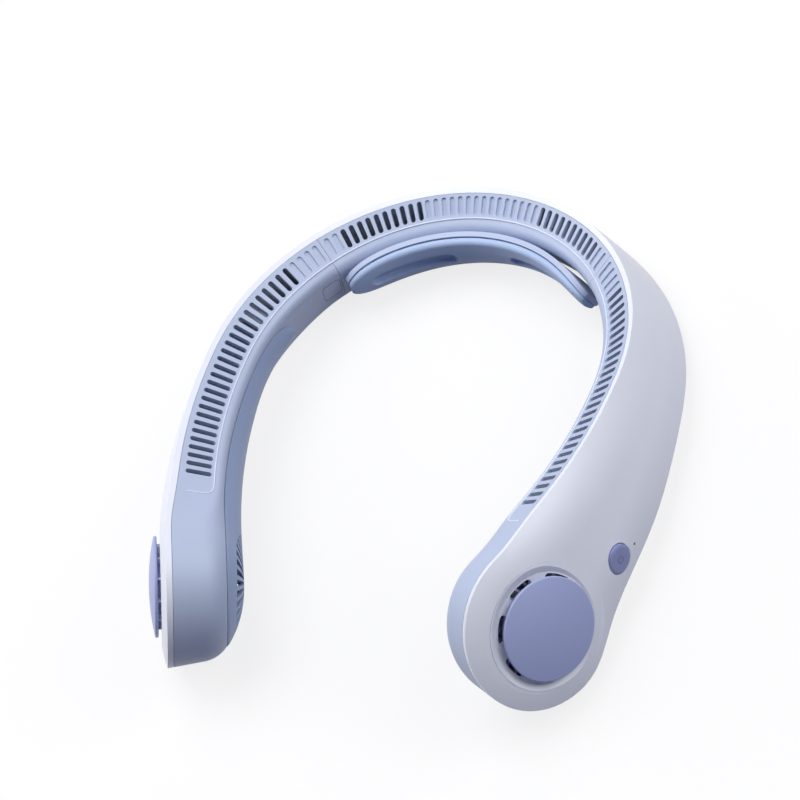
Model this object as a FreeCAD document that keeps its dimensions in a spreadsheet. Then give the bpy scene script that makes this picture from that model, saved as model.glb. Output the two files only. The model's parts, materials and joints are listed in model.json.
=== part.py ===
"""Bladeless neck fan: a hollow U-shaped band with a blower pod at each front end.

Lengths are in millimetres and angles in degrees. The band is drawn along a plan path, which starts
at the right pod's centre and runs round the back of the neck. Each cross-section is drawn in two
directions of its own: "out", away from the neck, and "up". One rest placement then lays every piece
down, so that the fan stands on its two pods and on the back of the band.
"""
import FreeCAD, Part
import math
import os
import Sketcher
from FreeCAD import Placement, Rotation, Vector

SIZES = {
    # Plan path of the band, through the outer ends of the slots
    "neck_radius": 80.0,
    "arm_radius": 177.0,
    "arm_turn": 25.0,
    "pod_run": 11.8,
    "band_lean": 20.5,
    "rest_tilt": 10.44,
    # Places along the path where the cross-section is given
    "throat_at": 26.0,
    "arm_at": 100.0,
    # Cross-section of the band: seam between the two shells, outer face, top strip and height
    "pod_radius": 30.4,
    "fan_at": 0.3,
    "fan_drop": 1.7,
    "seam_out_pod": 6.4,
    "seam_out_throat": 3.6,
    "seam_out_arm": 1.8,
    "seam_out_back": 1.1,
    "seam_up_pod": -0.6,
    "seam_up_arm": 0.4,
    "face_out_pod": 10.8,
    "face_out_throat": 9.6,
    "face_out_arm": 4.9,
    "face_out_back": 3.2,
    "throat_height": 50.9,
    "waist_at": 60.0,
    "waist_height": 42.2,
    "arm_height": 33.6,
    "back_height": 27.2,
    "rim_width": 2.2,
    "rim_rise": 0.35,
    "shoulder_pod": 13.0,
    "shoulder_throat": 17.0,
    "shoulder_arm": 14.0,
    "shoulder_back": 9.0,
    "strip_in_pod": 5.0,
    "strip_in_arm": 10.5,
    "strip_in_back": 9.2,
    "strip_drop_pod": 1.8,
    "strip_drop_arm": 3.0,
    "corner_drop": 7.0,
    "corner_bulge": 1.0,
    "inner_face_in": 13.2,
    "shell_wall": 1.8,
    "seam_gap": 0.15,
    # Air slots of the top strip, counted from the back centre
    "slot_width": 2.0,
    "slot_shift_throat": 1.2,
    "slot_length_throat": 9.8,
    "slot_length_arm": 8.8,
    "slot_length_back": 7.2,
    "blank_depth": 0.7,
    "centre_blanks": 15,
    "centre_pitch": 3.35,
    "back_slots": 10,
    "back_pitch": 3.5,
    "side_blanks": 6,
    "side_pitch": 3.64,
    "arm_slots": 27,
    "arm_pitch": 3.9,
    # Inner arm cover with its grille
    "cover_wall": 1.6,
    "cover_out_pod": 6.8,
    "cover_out_end": 2.2,
    "cover_arch": 0.92,
    "cover_end_at": 117.0,
    "cover_end_round": 18.0,
    "grille_spokes": 28,
    "grille_inner": 6.0,
    "grille_outer": 18.3,
    "grille_slot": 2.3,
    # Outer intake: ring recess, arc openings and the disc on its ribs
    "ring_radius": 23.3,
    "ring_depth": 1.5,
    "groove_width": 0.4,
    "groove_depth": 0.6,
    "bead_width": 0.5,
    "bead_depth": 0.25,
    "dish_radius": 19.7,
    "floor_wall": 2.0,
    "arc_count": 7,
    "arc_first": 87.4,
    "arc_inner": 16.1,
    "arc_width": 3.0,
    "arc_angle": 33.0,
    "disc_radius": 18.6,
    "disc_rim": 1.2,
    "disc_crown": 2.0,
    "disc_round": 0.5,
    "disc_gap": 2.3,
    "disc_hub": 12.6,
    "rib_from": 13.0,
    "rib_length": 2.8,
    "rib_thick": 0.9,
    "rib_count": 12,
    "inlet_radius": 18.5,
    # Blower motor, along the pod's axis
    "flange_radius": 9.0,
    "flange_thick": 1.5,
    "tube_radius": 3.0,
    "tube_length": 9.0,
    "bush_radius": 2.2,
    "bush_length": 8.0,
    "shaft_radius": 1.0,
    "shaft_length": 9.6,
    "run_clear": 0.05,
    "fit_clear": 0.02,
    "stator_radius": 8.0,
    "stator_length": 6.0,
    "stator_hub": 4.6,
    "stator_shoe": 1.0,
    "pole_count": 6,
    "pole_width": 2.0,
    "coil_wall": 0.7,
    "coil_inner": 4.9,
    "coil_outer": 6.6,
    "air_gap": 0.5,
    "magnet_thick": 0.9,
    "magnet_length": 7.0,
    "cup_wall": 0.8,
    "cup_end": 1.0,
    "cup_length": 9.8,
    "cup_hub_radius": 2.4,
    "cup_hub_length": 0.8,
    "cup_rim_gap": 1.2,
    "impeller_radius": 21.0,
    "impeller_inner": 15.2,
    "impeller_length": 12.6,
    "impeller_hub_wall": 1.3,
    "impeller_cap": 1.3,
    "impeller_plate": 1.0,
    "impeller_ring": 1.0,
    "blade_count": 26,
    "blade_thick": 0.9,
    "blade_sweep": 28.0,
    # Power button, light and control board, in the right arm
    "button_at": 35.9,
    "button_up": -37.3,
    "button_tilt": 13.0,
    "button_radius": 5.4,
    "button_clear": 0.3,
    "button_proud": 0.7,
    "button_body": 4.2,
    "button_bevel": 0.35,
    "button_bevel_run": 0.9,
    "button_lip": 1.0,
    "button_lip_thick": 0.8,
    "button_travel": 0.4,
    "stem_radius": 1.6,
    "lens_radius": 0.45,
    "lens_along": 8.2,
    "lens_up": -2.2,
    "lens_proud": 0.1,
    "board_length": 29.0,
    "board_height": 19.0,
    "board_thick": 1.2,
    "board_back": 16.0,
    "board_low": 5.1,
    "board_depth": 7.8,
    "board_post": 1.5,
    "switch_side": 4.0,
    "switch_height": 2.6,
    "plunger_height": 0.4,
    "plunger_radius": 1.1,
    "socket_width": 9.0,
    "socket_depth": 7.4,
    "socket_thick": 3.2,
    "socket_wall": 0.5,
    "socket_along": 10.5,
    "socket_low": 6.4,
    # Battery cells, their lead and the duct floors
    "cell_at": 62.0,
    "cell_length": 44.0,
    "cell_height": 15.0,
    "cell_thick": 10.0,
    "cell_up": -14.2,
    "cell_gap": 0.2,
    "lead_radius": 1.1,
    "lead_out": -9.3,
    "lead_up": -20.0,
    "floor_drop": 12.0,
    "floor_thick": 1.2,
    "floor_from": 34.0,
    "floor_to": 104.0,
    # Screws, their bosses and caps
    "boss_radius": 2.6,
    "screw_radius": 1.0,
    "screw_length": 9.0,
    "screw_head_radius": 1.9,
    "screw_head": 0.9,
    "pod_screw_at": 27.0,
    "pod_screw_up": -19.0,
    "arm_screw_at": 111.0,
    "arm_screw_up": -10.5,
    "cap_from_back": 73.5,
    "cap_up": -14.0,
    "cap_length": 8.0,
    "cap_height": 10.5,
    "cap_round": 2.0,
    "cap_thick": 0.8,
    "cap_clear": 0.12,
    # Neck pad at the back
    "pad_reach": 68.0,
    "pad_top": -0.5,
    "pad_height": 21.5,
    "pad_gap": 1.0,
    "pad_end_gap": 1.3,
    "plate_thick": 2.0,
    "cushion_thick": 4.2,
    "cushion_inset": 0.9,
    "cushion_crown": 1.2,
    "channel_from": 14.5,
    "channel_to": 56.5,
    "channel_width": 7.0,
    "channel_depth": 3.0,
    "bracket_half": 15.0,
    "bracket_height": 11.0,
}

doc = FreeCAD.newDocument("NeckFan")
sheet = doc.addObject("Spreadsheet::Sheet", "Sizes")
for row, (alias, value) in enumerate(SIZES.items(), start=1):
    sheet.set("A%d" % row, alias)
    sheet.set("B%d" % row, str(value))
    sheet.setAlias("B%d" % row, alias)
doc.recompute()


def size(alias):
    """Value of one driving dimension."""
    return float(sheet.get(alias))


def count(alias):
    """Value of one driving number of copies."""
    return int(round(size(alias)))


# The plan path and the cross-section's directions

NECK_LENGTH = size("neck_radius") * math.pi / 2
ARM_LENGTH = size("arm_radius") * math.radians(size("arm_turn"))
BACK_AT = size("pod_run") + ARM_LENGTH + NECK_LENGTH
NECK_CENTRE = Vector(0, 0, 0)
ARM_CENTRE = Vector(size("neck_radius") - size("arm_radius"), 0, 0)
LEAN = math.radians(size("band_lean"))


def plan(along):
    """Point of the plan path and its outward direction, at a length from the right pod's centre."""
    arm_end = size("pod_run") + ARM_LENGTH
    if along >= arm_end:
        angle = (along - arm_end) / size("neck_radius")
        outward = Vector(math.cos(angle), math.sin(angle), 0)
        return NECK_CENTRE + outward * size("neck_radius"), outward
    angle = (max(along, size("pod_run")) - arm_end) / size("arm_radius")
    outward = Vector(math.cos(angle), math.sin(angle), 0)
    back = Vector(-outward.y, outward.x, 0)
    return ARM_CENTRE + outward * size("arm_radius") + back * min(along - size("pod_run"), 0), outward


def axes(along):
    """Origin and the back, up and out directions of the cross-section at a place on the right half."""
    point, outward = plan(along)
    up = Vector(-outward.x * math.sin(LEAN), -outward.y * math.sin(LEAN), math.cos(LEAN))
    out = Vector(outward.x * math.cos(LEAN), outward.y * math.cos(LEAN), math.sin(LEAN))
    return point, Vector(-outward.y, outward.x, 0), up, out


def spot(along, out, up, side=1):
    """Point of the cross-section, on the right half or mirrored to the left half."""
    origin, _, up_axis, out_axis = axes(along)
    point = origin + out_axis * out + up_axis * up
    return Vector(point.x * side, point.y, point.z)


def section_frame(along, out, up, side=1):
    """Placement with X along the band, Y up and Z out; on the left half X points to the front."""
    _, back, up_axis, out_axis = axes(along)
    back = Vector(back.x, back.y * side, 0)
    up_axis = Vector(up_axis.x * side, up_axis.y, up_axis.z)
    out_axis = Vector(out_axis.x * side, out_axis.y, out_axis.z)
    turn = FreeCAD.Matrix(back.x, up_axis.x, out_axis.x, 0, back.y, up_axis.y, out_axis.y, 0,
                          back.z, up_axis.z, out_axis.z, 0, 0, 0, 0, 1)
    return Placement(spot(along, out, up, side), Rotation(turn))


def moved(frame, along, up, out=0.0):
    """Frame shifted in its own directions."""
    return frame.multiply(Placement(Vector(along, up, out), Rotation()))


def smooth(table, at):
    """Monotone cubic through (place, value) pairs, level at both ends."""
    spans = [after[0] - before[0] for before, after in zip(table, table[1:])]
    rises = [(after[1] - before[1]) / span for before, after, span in zip(table, table[1:], spans)]
    slopes = [0.0]
    for before, after in zip(rises, rises[1:]):
        slopes.append(2 * before * after / (before + after) if before * after > 0 else 0.0)
    slopes.append(0.0)
    index = 0
    while index < len(spans) - 1 and at > table[index + 1][0]:
        index += 1
    part = min(max((at - table[index][0]) / spans[index], 0.0), 1.0)
    start, end = table[index][1], table[index + 1][1]
    bend_start = slopes[index] * spans[index]
    bend_end = slopes[index + 1] * spans[index]
    return (start * (1 + 2 * part) * (1 - part) ** 2 + bend_start * part * (1 - part) ** 2
            + end * part ** 2 * (3 - 2 * part) - bend_end * part ** 2 * (1 - part))


def along_band(pod, throat, arm, back, at):
    """Section value that runs through its four given places."""
    places = (0.0, size("throat_at"), size("arm_at"), BACK_AT)
    return smooth(list(zip(places, (pod, throat, arm, back))), at)


# Section values of the band

BAND_PLACES = ("pod", "throat", "arm", "back")
POD_UP = size("seam_up_pod") - size("pod_radius")


def seam_out(at):
    """Where the seam between the two shells lies."""
    return along_band(*[size("seam_out_" + place) for place in BAND_PLACES], at)


def seam_up(at):
    """Height of the upper seam."""
    arm_up = size("seam_up_arm")
    return along_band(size("seam_up_pod"), arm_up, arm_up, arm_up, at)


def seam_low(at):
    """Height of the lower seam: the pod's circle first, then the arm's tapering underside."""
    round_at = 0.45 * size("pod_radius")
    round_low = POD_UP - math.sqrt(size("pod_radius") ** 2 - round_at ** 2)
    arm_up = size("seam_up_arm")
    table = [(0.0, POD_UP - size("pod_radius")), (round_at, round_low),
             (size("throat_at"), arm_up - size("throat_height")),
             (size("waist_at"), arm_up - size("waist_height")),
             (size("arm_at"), arm_up - size("arm_height")), (BACK_AT, arm_up - size("back_height"))]
    return smooth(table, at)


def middle_up(at):
    """Mid height of the section."""
    return (seam_up(at) + seam_low(at)) / 2


def face_out(at):
    """Where the outer face lies."""
    return along_band(*[size("face_out_" + place) for place in BAND_PLACES], at)


def strip_end(at):
    """Inner edge of the top strip."""
    arm_in, arm_drop = size("strip_in_arm"), size("strip_drop_arm")
    inward = along_band(size("strip_in_pod"), arm_in, arm_in, size("strip_in_back"), at)
    return -inward, seam_up(at) - along_band(size("strip_drop_pod"), arm_drop, arm_drop, arm_drop, at)


def shoulder(at):
    """Edge of the outer shell's rim and the place where its rounded shoulder meets the flat face."""
    drop = along_band(*[size("shoulder_" + place) for place in BAND_PLACES], at)
    edge = (seam_out(at) + size("rim_width"), seam_up(at) + size("rim_rise"))
    return edge, (face_out(at), seam_up(at) - drop)


def outer_surface(at, up):
    """How far out the outer shell's lower half lies at a height."""
    edge, face = shoulder(at)
    reach, drop = face[0] - edge[0], edge[1] - face[1]
    radius = (reach ** 2 + drop ** 2) / (2 * reach)
    below = max(2 * middle_up(at) - face[1] - up, 0.0)
    return face[0] - radius + math.sqrt(radius ** 2 - below ** 2)


def stations(first, last):
    """Places for the sections of a loft, closer together near the pod."""
    steps = 14
    regular = [BACK_AT * (step / steps) ** 1.5 for step in range(steps + 1)]
    margin = BACK_AT / steps / 5
    return [first] + [at for at in regular if first + margin < at < last - margin] + [last]


def inset(line, wall, hand):
    """Points of an open line moved sideways by a wall; the first one stays at its own out."""
    sides = []
    for start, end in zip(line, line[1:]):
        length = math.hypot(end[0] - start[0], end[1] - start[1])
        scale = hand * wall / length
        sides.append(((start[1] - end[1]) * scale, (end[0] - start[0]) * scale))
    slope = (line[1][1] - line[0][1]) / (line[1][0] - line[0][0])
    moved = [(line[0][0], line[0][1] + sides[0][1] - slope * sides[0][0])]
    for point, before, after in zip(line[1:], sides, sides[1:]):
        across = (before[0] + after[0], before[1] + after[1])
        scale = 2 * wall ** 2 / (across[0] ** 2 + across[1] ** 2)
        moved.append((point[0] + across[0] * scale, point[1] + across[1] * scale))
    return moved


def channel(outline, middle, wall, hand):
    """Closed C-shaped profile and its upper half, from an upper outline of lip, edge, arc point and face."""
    lip, edge, bend, face = outline
    in_lip, in_edge, in_bend, in_face = inset(outline + [(face[0], middle)], wall, hand)

    def low(point):
        return point[0], 2 * middle - point[1]

    whole = [edge, (bend, face), low(face), (low(bend), low(edge)), low(lip), low(in_lip), low(in_edge),
             (low(in_bend), low(in_face)), in_face, (in_bend, in_edge), in_lip, lip]
    half = [edge, (bend, face), (face[0], middle), (in_face[0], middle), in_face, (in_bend, in_edge),
            in_lip, lip]
    return whole, half


def round_bend(edge, face):
    """Middle of the arc that runs from an edge and meets the face level with it."""
    reach = abs(face[0] - edge[0])
    drop = edge[1] - face[1]
    radius = (reach ** 2 + drop ** 2) / (2 * reach)
    half_turn = math.atan2(drop, radius - reach) / 2
    toward = math.copysign(1.0, face[0] - edge[0])
    return face[0] - toward * radius * (1 - math.cos(half_turn)), face[1] + radius * math.sin(half_turn)


def outer_profile(at, wall=size("shell_wall")):
    """Profile of the outer shell: bevelled rim, rounded shoulder and broad face."""
    lip = (seam_out(at) + size("seam_gap") / 2, seam_up(at))
    edge, face = shoulder(at)
    return channel([lip, edge, round_bend(edge, face), face], middle_up(at), wall, -1)


def outer_core(at):
    """Outline of the middle of the outer shell's wall, closed straight across its lips."""
    return outer_profile(at, size("shell_wall") / 2)[0][5:11]


def inner_profile(at):
    """Profile of the inner shell: sloping strip, rounded corner and flat inner face."""
    lip = (seam_out(at) - size("seam_gap") / 2, seam_up(at))
    edge = strip_end(at)
    face = (-size("inner_face_in"), seam_up(at) - size("corner_drop"))
    run = (face[0] - edge[0], face[1] - edge[1])
    length = math.hypot(run[0], run[1])
    bend = ((edge[0] + face[0]) / 2 + run[1] / length * size("corner_bulge"),
            (edge[1] + face[1]) / 2 - run[0] / length * size("corner_bulge"))
    return channel([lip, edge, bend, face], middle_up(at), size("shell_wall"), 1)


def cover_profile(at):
    """Arched profile of the inner arm cover and its upper half; the cover narrows to a round end."""
    end_from = size("cover_end_at") - size("cover_end_round")
    past = max(at - end_from, 0.0) / size("cover_end_round")
    middle = middle_up(at)
    half = (seam_up(at) - size("corner_drop") - middle) * math.sqrt(1 - past ** 2)
    raised = smooth([(0.0, size("cover_out_pod")), (size("cover_end_at"), size("cover_out_end"))], at)
    base = -size("inner_face_in") - size("seam_gap")
    edge_run = size("cover_arch") * half
    lip = (base, middle + half)
    edge = (base - 0.12 * raised, middle + half - 0.04 * edge_run)
    face = (-size("inner_face_in") - raised, middle + half - edge_run)
    bend = round_bend(edge, face)

    def low(point):
        return point[0], 2 * middle - point[1]

    whole = [edge, (bend, face), low(face), (low(bend), low(edge)), low(lip), lip]
    return whole, [edge, (bend, face), (face[0], middle), (base, middle), lip]


# Shapes made from profiles

def section_wire(at, profile, side=1):
    """Closed wire of a profile, whose entries are corners, or an arc point with its end."""
    edges = []
    last = profile[-1]
    for entry in profile:
        if isinstance(entry[0], tuple):
            bend, end = entry
            points = [spot(at, place[0], place[1], side) for place in (last, bend, end)]
            edges.append(Part.Arc(*points).toShape())
        else:
            end = entry
            edges.append(Part.makeLine(spot(at, last[0], last[1], side), spot(at, end[0], end[1], side)))
        last = end
    return Part.Wire(edges)


def loft_right(profile_at, places):
    """Solid through the profiles at places on the right half."""
    return Part.makeLoft([section_wire(at, profile_at(at)) for at in places], True, False)


def loft_across(profile_at, places):
    """Solid through the profiles at places on the right half and their mirror images."""
    wires = [section_wire(at, profile_at(at)) for at in places]
    wires += [section_wire(at, profile_at(at), -1) for at in reversed(places) if at < BACK_AT]
    return Part.makeLoft(wires, True, False)


def pod_turn(half_profile):
    """Front half of a pod: the upper half profile turned about the pod's axis."""
    face = Part.Face(section_wire(0.0, half_profile))
    return face.revolve(spot(0.0, 0.0, POD_UP), axes(0.0)[3], 180)


def mirrored(shape):
    """The same shape for the other half of the fan."""
    return shape.mirror(Vector(0, 0, 0), Vector(1, 0, 0))


def both_sides(shapes):
    """Shapes of the right half together with their mirror images."""
    return shapes + [mirrored(shape) for shape in shapes]


def placed(shape, frame):
    """Copy of a shape in a frame of the band."""
    copy = shape.copy()
    copy.Placement = frame.multiply(copy.Placement)
    return copy


def turns(alias, first=0.0):
    """Placements turned about Z in equal steps, one for each copy."""
    angles = [first + step * 360.0 / count(alias) for step in range(count(alias))]
    return [Placement(Vector(), Rotation(Vector(0, 0, 1), angle)) for angle in angles]


def fan_frame(out, side=1):
    """Frame on the blower's axis, a little behind and below the pod's centre."""
    return section_frame(size("fan_at"), out, POD_UP - size("fan_drop"), side)


def rounded_plate(length, height, round_radius, thick):
    """Flat plate with round corners, centred, from level zero up."""
    plate = Part.makeBox(length, height, thick, Vector(-length / 2, -height / 2, 0))
    uprights = [edge for edge in plate.Edges if abs(edge.tangentAt(edge.FirstParameter).z) > 0.9]
    return plate.makeFillet(round_radius, uprights)


# Pieces that the band's shells share: slots, screw places and the button's frame

def slot_tool(at, length, above, below):
    """Long round-ended cutter that stands square on the top strip."""
    lip, edge = (seam_out(at), seam_up(at)), strip_end(at)
    slope = (edge[1] - lip[1]) / (edge[0] - lip[0])
    origin, back, up_axis, out_axis = axes(at)
    run = (out_axis * -1.0 + up_axis * -slope).normalize()
    normal = run.cross(back)
    normal = normal if normal.dot(up_axis) > 0 else normal * -1.0
    across = back * (size("slot_width") / 2)
    first = along_band(0.0, size("slot_shift_throat"), 0.0, 0.0, at)
    start = origin + out_axis * first + up_axis * (lip[1] + slope * (first - lip[0]))
    start += run * (size("slot_width") / 2) - normal * below
    end = start + run * (length - size("slot_width"))
    round_out = run * (size("slot_width") / 2)
    edges = [Part.makeLine(start + across, end + across),
             Part.Arc(end + across, end + round_out, end - across).toShape(),
             Part.makeLine(end - across, start - across),
             Part.Arc(start - across, start - round_out, start + across).toShape()]
    return Part.Face(Part.Wire(edges)).extrude(normal * (above + below))


def slot_places():
    """Lengths along the path of the open slots and of the shallow blanks, on the right half."""
    from_back = (count("centre_blanks") - 1) // 2 * size("centre_pitch")
    blanks = [BACK_AT - step * size("centre_pitch") for step in range((count("centre_blanks") + 1) // 2)]
    from_back += size("centre_pitch")
    rear_open = [BACK_AT - from_back - step * size("back_pitch") for step in range(count("back_slots"))]
    from_back += (count("back_slots") - 1) * size("back_pitch")
    near = [from_back + (step + 1) * size("side_pitch") for step in range(2)]
    far = [near[-1] + (step + 1.5) * size("side_pitch") for step in range(count("side_blanks") - 2)]
    joint = BACK_AT - near[-1] - 0.75 * size("side_pitch")
    arm_from = far[-1] + size("side_pitch")
    arm_open = [BACK_AT - arm_from - step * size("arm_pitch") for step in range(count("arm_slots"))]
    rear_blank = blanks + [BACK_AT - place for place in near]
    return rear_open, rear_blank, arm_open, [BACK_AT - place for place in far], joint


def slot_cutters(open_places, blank_places):
    """Cutters for open slots and for shallow blanks, longer on the arms than at the back."""
    wall = size("shell_wall")

    def length(at):
        lengths = [size("slot_length_" + place) for place in ("throat", "throat", "arm", "back")]
        return along_band(*lengths, at)

    cutters = [slot_tool(at, length(at), wall, 2 * wall) for at in open_places]
    cutters += [slot_tool(at, length(at), wall, size("blank_depth")) for at in blank_places]
    return cutters


REAR_OPEN, REAR_BLANK, ARM_OPEN, ARM_BLANK, JOINT_AT = slot_places()
CAP_AT = BACK_AT - size("cap_from_back")
SCREWS = {
    "pod": (size("pod_screw_at"), size("pod_screw_up")),
    "arm": (size("arm_screw_at"), size("arm_screw_up")),
    "cap": (CAP_AT, size("cap_up")),
}
INNER_WALL_OUT = size("shell_wall") - size("inner_face_in")
HEAD_SINK = size("screw_head") + size("fit_clear")


def screw_sink(name):
    """Depth of a screw head's seat below the inner face; the capped ones lie deeper."""
    return HEAD_SINK + (size("cap_thick") + size("cap_clear") if name == "cap" else 0.0)


def screw_seat_wall(name):
    """Thickness of the inner shell under a screw, with a thicker seat where the head lies deep."""
    return max(size("shell_wall"), screw_sink(name) + 0.4 * size("shell_wall"))


def screw_frame(name, out, side=1):
    """Frame on a screw's axis."""
    at, up = SCREWS[name]
    return section_frame(at, out, up, side)


BOARD_TOP = -size("board_depth")


def button_frame(out):
    """Frame on the button's axis, in the right arm, at a distance out of the shell's surface."""
    at, up = size("button_at"), size("button_up")
    tilt = Placement(Vector(), Rotation(Vector(1, 0, 0), size("button_tilt")))
    return moved(section_frame(at, outer_surface(at, up), up).multiply(tilt), 0.0, 0.0, out)


def lens_frame(out):
    """Frame along the button's axis where the light stands, at a distance out of the shell there."""
    at, up = size("button_at") + size("lens_along"), size("button_up") + size("lens_up")
    place = button_frame(0.0).inverse().multVec(spot(at, outer_surface(at, up), up))
    return moved(button_frame(out), place.x, place.y, place.z)


def socket_mouth():
    """Cutter of the charging socket's opening through the shells."""
    gap = 2 * size("seam_gap")
    width, depth = size("socket_width") + gap, size("socket_depth")
    corner = Vector(size("socket_along") - width / 2, -size("socket_low") - 0.75 * depth, -gap / 2)
    return placed(Part.makeBox(width, depth, size("socket_thick") + gap, corner), button_frame(BOARD_TOP))


# Documents objects and their placement

NODES = {}


def keep(label, item, frame=Placement()):
    """Give an object its node name, and note the frame of the band that it belongs in."""
    item.Label = label
    NODES[label] = (item, frame)


def keep_shape(label, shape, frame=Placement()):
    """Make a shaped feature and keep it as a node."""
    item = doc.addObject("Part::Feature", label)
    item.Shape = shape
    keep(label, item, frame)


def bound(kind, name, **expressions):
    """Document object whose sizes follow the sheet."""
    item = doc.addObject(kind, name)
    for prop, expression in expressions.items():
        item.setExpression(prop, expression)
    return item


def lift(item, expression):
    """Bind an object's height above its own origin."""
    item.setExpression(".Placement.Base.z", expression)
    return item


def cylinder(name, radius, height, level=None):
    """Upright cylinder with bound sizes, and a bound level inside a compound piece."""
    item = bound("Part::Cylinder", name, Radius=radius, Height=height)
    return lift(item, level) if level else item


def block(name, length, width, height, corner=()):
    """Box with bound sizes, and a bound corner inside a compound piece."""
    item = bound("Part::Box", name, Length=length, Width=width, Height=height)
    for axis, expression in zip("xyz", corner):
        item.setExpression(".Placement.Base." + axis, expression)
    return item


def cut(name, base, tool):
    """Base without a tool."""
    item = doc.addObject("Part::Cut", name)
    item.Base = base
    item.Tool = tool
    return item


def common(name, base, tool):
    """What two objects share."""
    item = doc.addObject("Part::Common", name)
    item.Base = base
    item.Tool = tool
    return item


def fuse(name, items):
    """Several objects as one solid."""
    item = doc.addObject("Part::MultiFuse", name)
    item.Shapes = items
    return item


def ring(name, inner, outer, height, level=None):
    """Upright tube with bound sizes."""
    body = cylinder(name + "_body", outer, height, level)
    bore = cylinder(name + "_bore", inner, height, level)
    return cut(name, body, bore)


def turned_body(name, outline):
    """Body of revolution about Z, from an outline of (radius, level) expressions that all lie above zero."""
    body = doc.addObject("PartDesign::Body", name)
    plane = [item for item in body.Origin.OriginFeatures if item.Role == "XZ_Plane"][0]
    sketch = body.newObject("Sketcher::SketchObject", name + "_outline")
    sketch.AttachmentSupport = [(plane, "")]
    sketch.MapMode = "FlatFace"
    corners = [(evaluate(radius), evaluate(level)) for radius, level in outline]
    for start, end in zip(corners, corners[1:] + corners[:1]):
        sketch.addGeometry(Part.LineSegment(Vector(start[0], start[1], 0), Vector(end[0], end[1], 0)), False)
    for index in range(len(corners)):
        following = (index + 1) % len(corners)
        sketch.addConstraint(Sketcher.Constraint("Coincident", index, 2, following, 1))
    for index, (radius, level) in enumerate(outline):
        bind_corner(sketch, "DistanceX", index, -2, radius)
        bind_corner(sketch, "DistanceY", index, -1, level)
    turn = body.newObject("PartDesign::Revolution", name + "_turn")
    turn.Profile = sketch
    turn.ReferenceAxis = (sketch, ["V_Axis"])
    turn.Angle = 360
    return body


def bind_corner(sketch, kind, index, axis, expression):
    """Hold one coordinate of a sketch corner at an expression, or on the axis where it is zero."""
    if expression == "0":
        sketch.addConstraint(Sketcher.Constraint("PointOnObject", index, 1, axis))
        return
    number = sketch.addConstraint(Sketcher.Constraint(kind, -1, 1, index, 1, evaluate(expression)))
    sketch.setExpression("Constraints[%d]" % number, expression)


def evaluate(expression):
    """Present value of a sheet expression."""
    return float(sheet.evalExpression(expression.replace("Sizes.", "")))


# Outer shell

def make_outer_shell():
    """White shell from pod to pod, with its intake floors, ribs, bosses, button and socket openings."""
    front = pod_turn(outer_profile(0.0)[1])
    shell = loft_across(lambda at: outer_profile(at)[0], stations(0.0, BACK_AT))
    wall = size("shell_wall")
    floor_out = size("face_out_pod") - size("ring_depth") - size("floor_wall")
    floor_top = size("face_out_pod") - (wall + size("ring_depth")) / 2
    floor_plate = Part.makeCylinder(size("ring_radius") + wall, floor_top - floor_out)
    added = [front, placed(floor_plate, fan_frame(floor_out))]
    boss_low = INNER_WALL_OUT + size("seam_gap")
    for name, (at, up) in SCREWS.items():
        low = boss_low + screw_seat_wall(name) - wall
        boss = Part.makeCylinder(size("boss_radius"), face_out(at) - wall / 2 - low)
        added.append(placed(boss, screw_frame(name, low)))
    shell = shell.fuse(both_sides(added))
    shell = shell.fuse(board_posts())
    cutters = [placed(intake_recess(), fan_frame(size("face_out_pod")))]
    cutters += [placed(arc, fan_frame(floor_out)) for arc in arc_openings()]
    pilot = Part.makeCylinder(size("screw_radius") + size("run_clear"), size("screw_length"))
    for name in SCREWS:
        cutters.append(placed(pilot, screw_frame(name, screw_sink(name) - size("inner_face_in"))))
    cutters = both_sides(cutters)
    deep = size("board_depth")
    hole = Part.makeCylinder(size("button_radius") + size("button_clear"), 2 * deep)
    cutters.append(placed(hole, button_frame(BOARD_TOP + deep / 2)))
    light = Part.makeCylinder(size("lens_radius") + size("fit_clear"), deep)
    cutters.append(placed(light, lens_frame(-deep / 2)))
    cutters.append(socket_mouth())
    shell = shell.cut(cutters).fuse(both_sides(disc_ribs()))
    keep_shape("outer_shell", shell.removeSplitter())


def intake_recess():
    """Cutter of the dished intake recess, with a fine groove and a bead round its edge."""
    radius, deep = size("ring_radius"), size("ring_depth")
    groove = radius - size("groove_width")
    line = [(0.0, deep), (size("dish_radius"), deep), (groove - size("bead_width"), size("bead_depth")),
            (groove, size("bead_depth")), (groove, size("groove_depth")), (radius, size("groove_depth")),
            (radius, -deep), (0.0, -deep)]
    corners = [Vector(out, 0.0, -depth) for out, depth in line]
    outline = Part.Face(Part.makePolygon(corners + corners[:1]))
    return outline.revolve(Vector(), Vector(0, 0, 1), 360)


def disc_ribs():
    """Short upright ribs in a ring, which carry the disc."""
    thick, sunk = size("rib_thick"), size("floor_wall") / 2
    corner = Vector(size("rib_from"), -thick / 2, 0)
    rib = Part.makeBox(size("rib_length"), thick, size("disc_gap") + sunk, corner)
    frame = fan_frame(size("face_out_pod") - size("ring_depth") - sunk)
    return [placed(placed(rib, turn), frame) for turn in turns("rib_count")]


def arc_openings():
    """Curved, round-ended intake openings round the disc."""
    height = 3 * size("floor_wall")
    inner, width = size("arc_inner"), size("arc_width")
    round_turn = math.degrees(width / (2 * inner + width))
    angle = size("arc_angle") - 2 * round_turn
    low, axis = Vector(0, 0, -height / 2), Vector(0, 0, 1)
    body = Part.makeCylinder(inner + width, height, low, axis, angle)
    body = body.cut(Part.makeCylinder(inner, height, low))
    end = Part.makeCylinder(width / 2, height, Vector(inner + width / 2, 0, -height / 2))
    far_end = placed(end, Placement(Vector(), Rotation(axis, angle)))
    opening = body.fuse([end, far_end]).removeSplitter()
    return [placed(opening, turn) for turn in turns("arc_count", size("arc_first") - angle / 2)]


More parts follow.
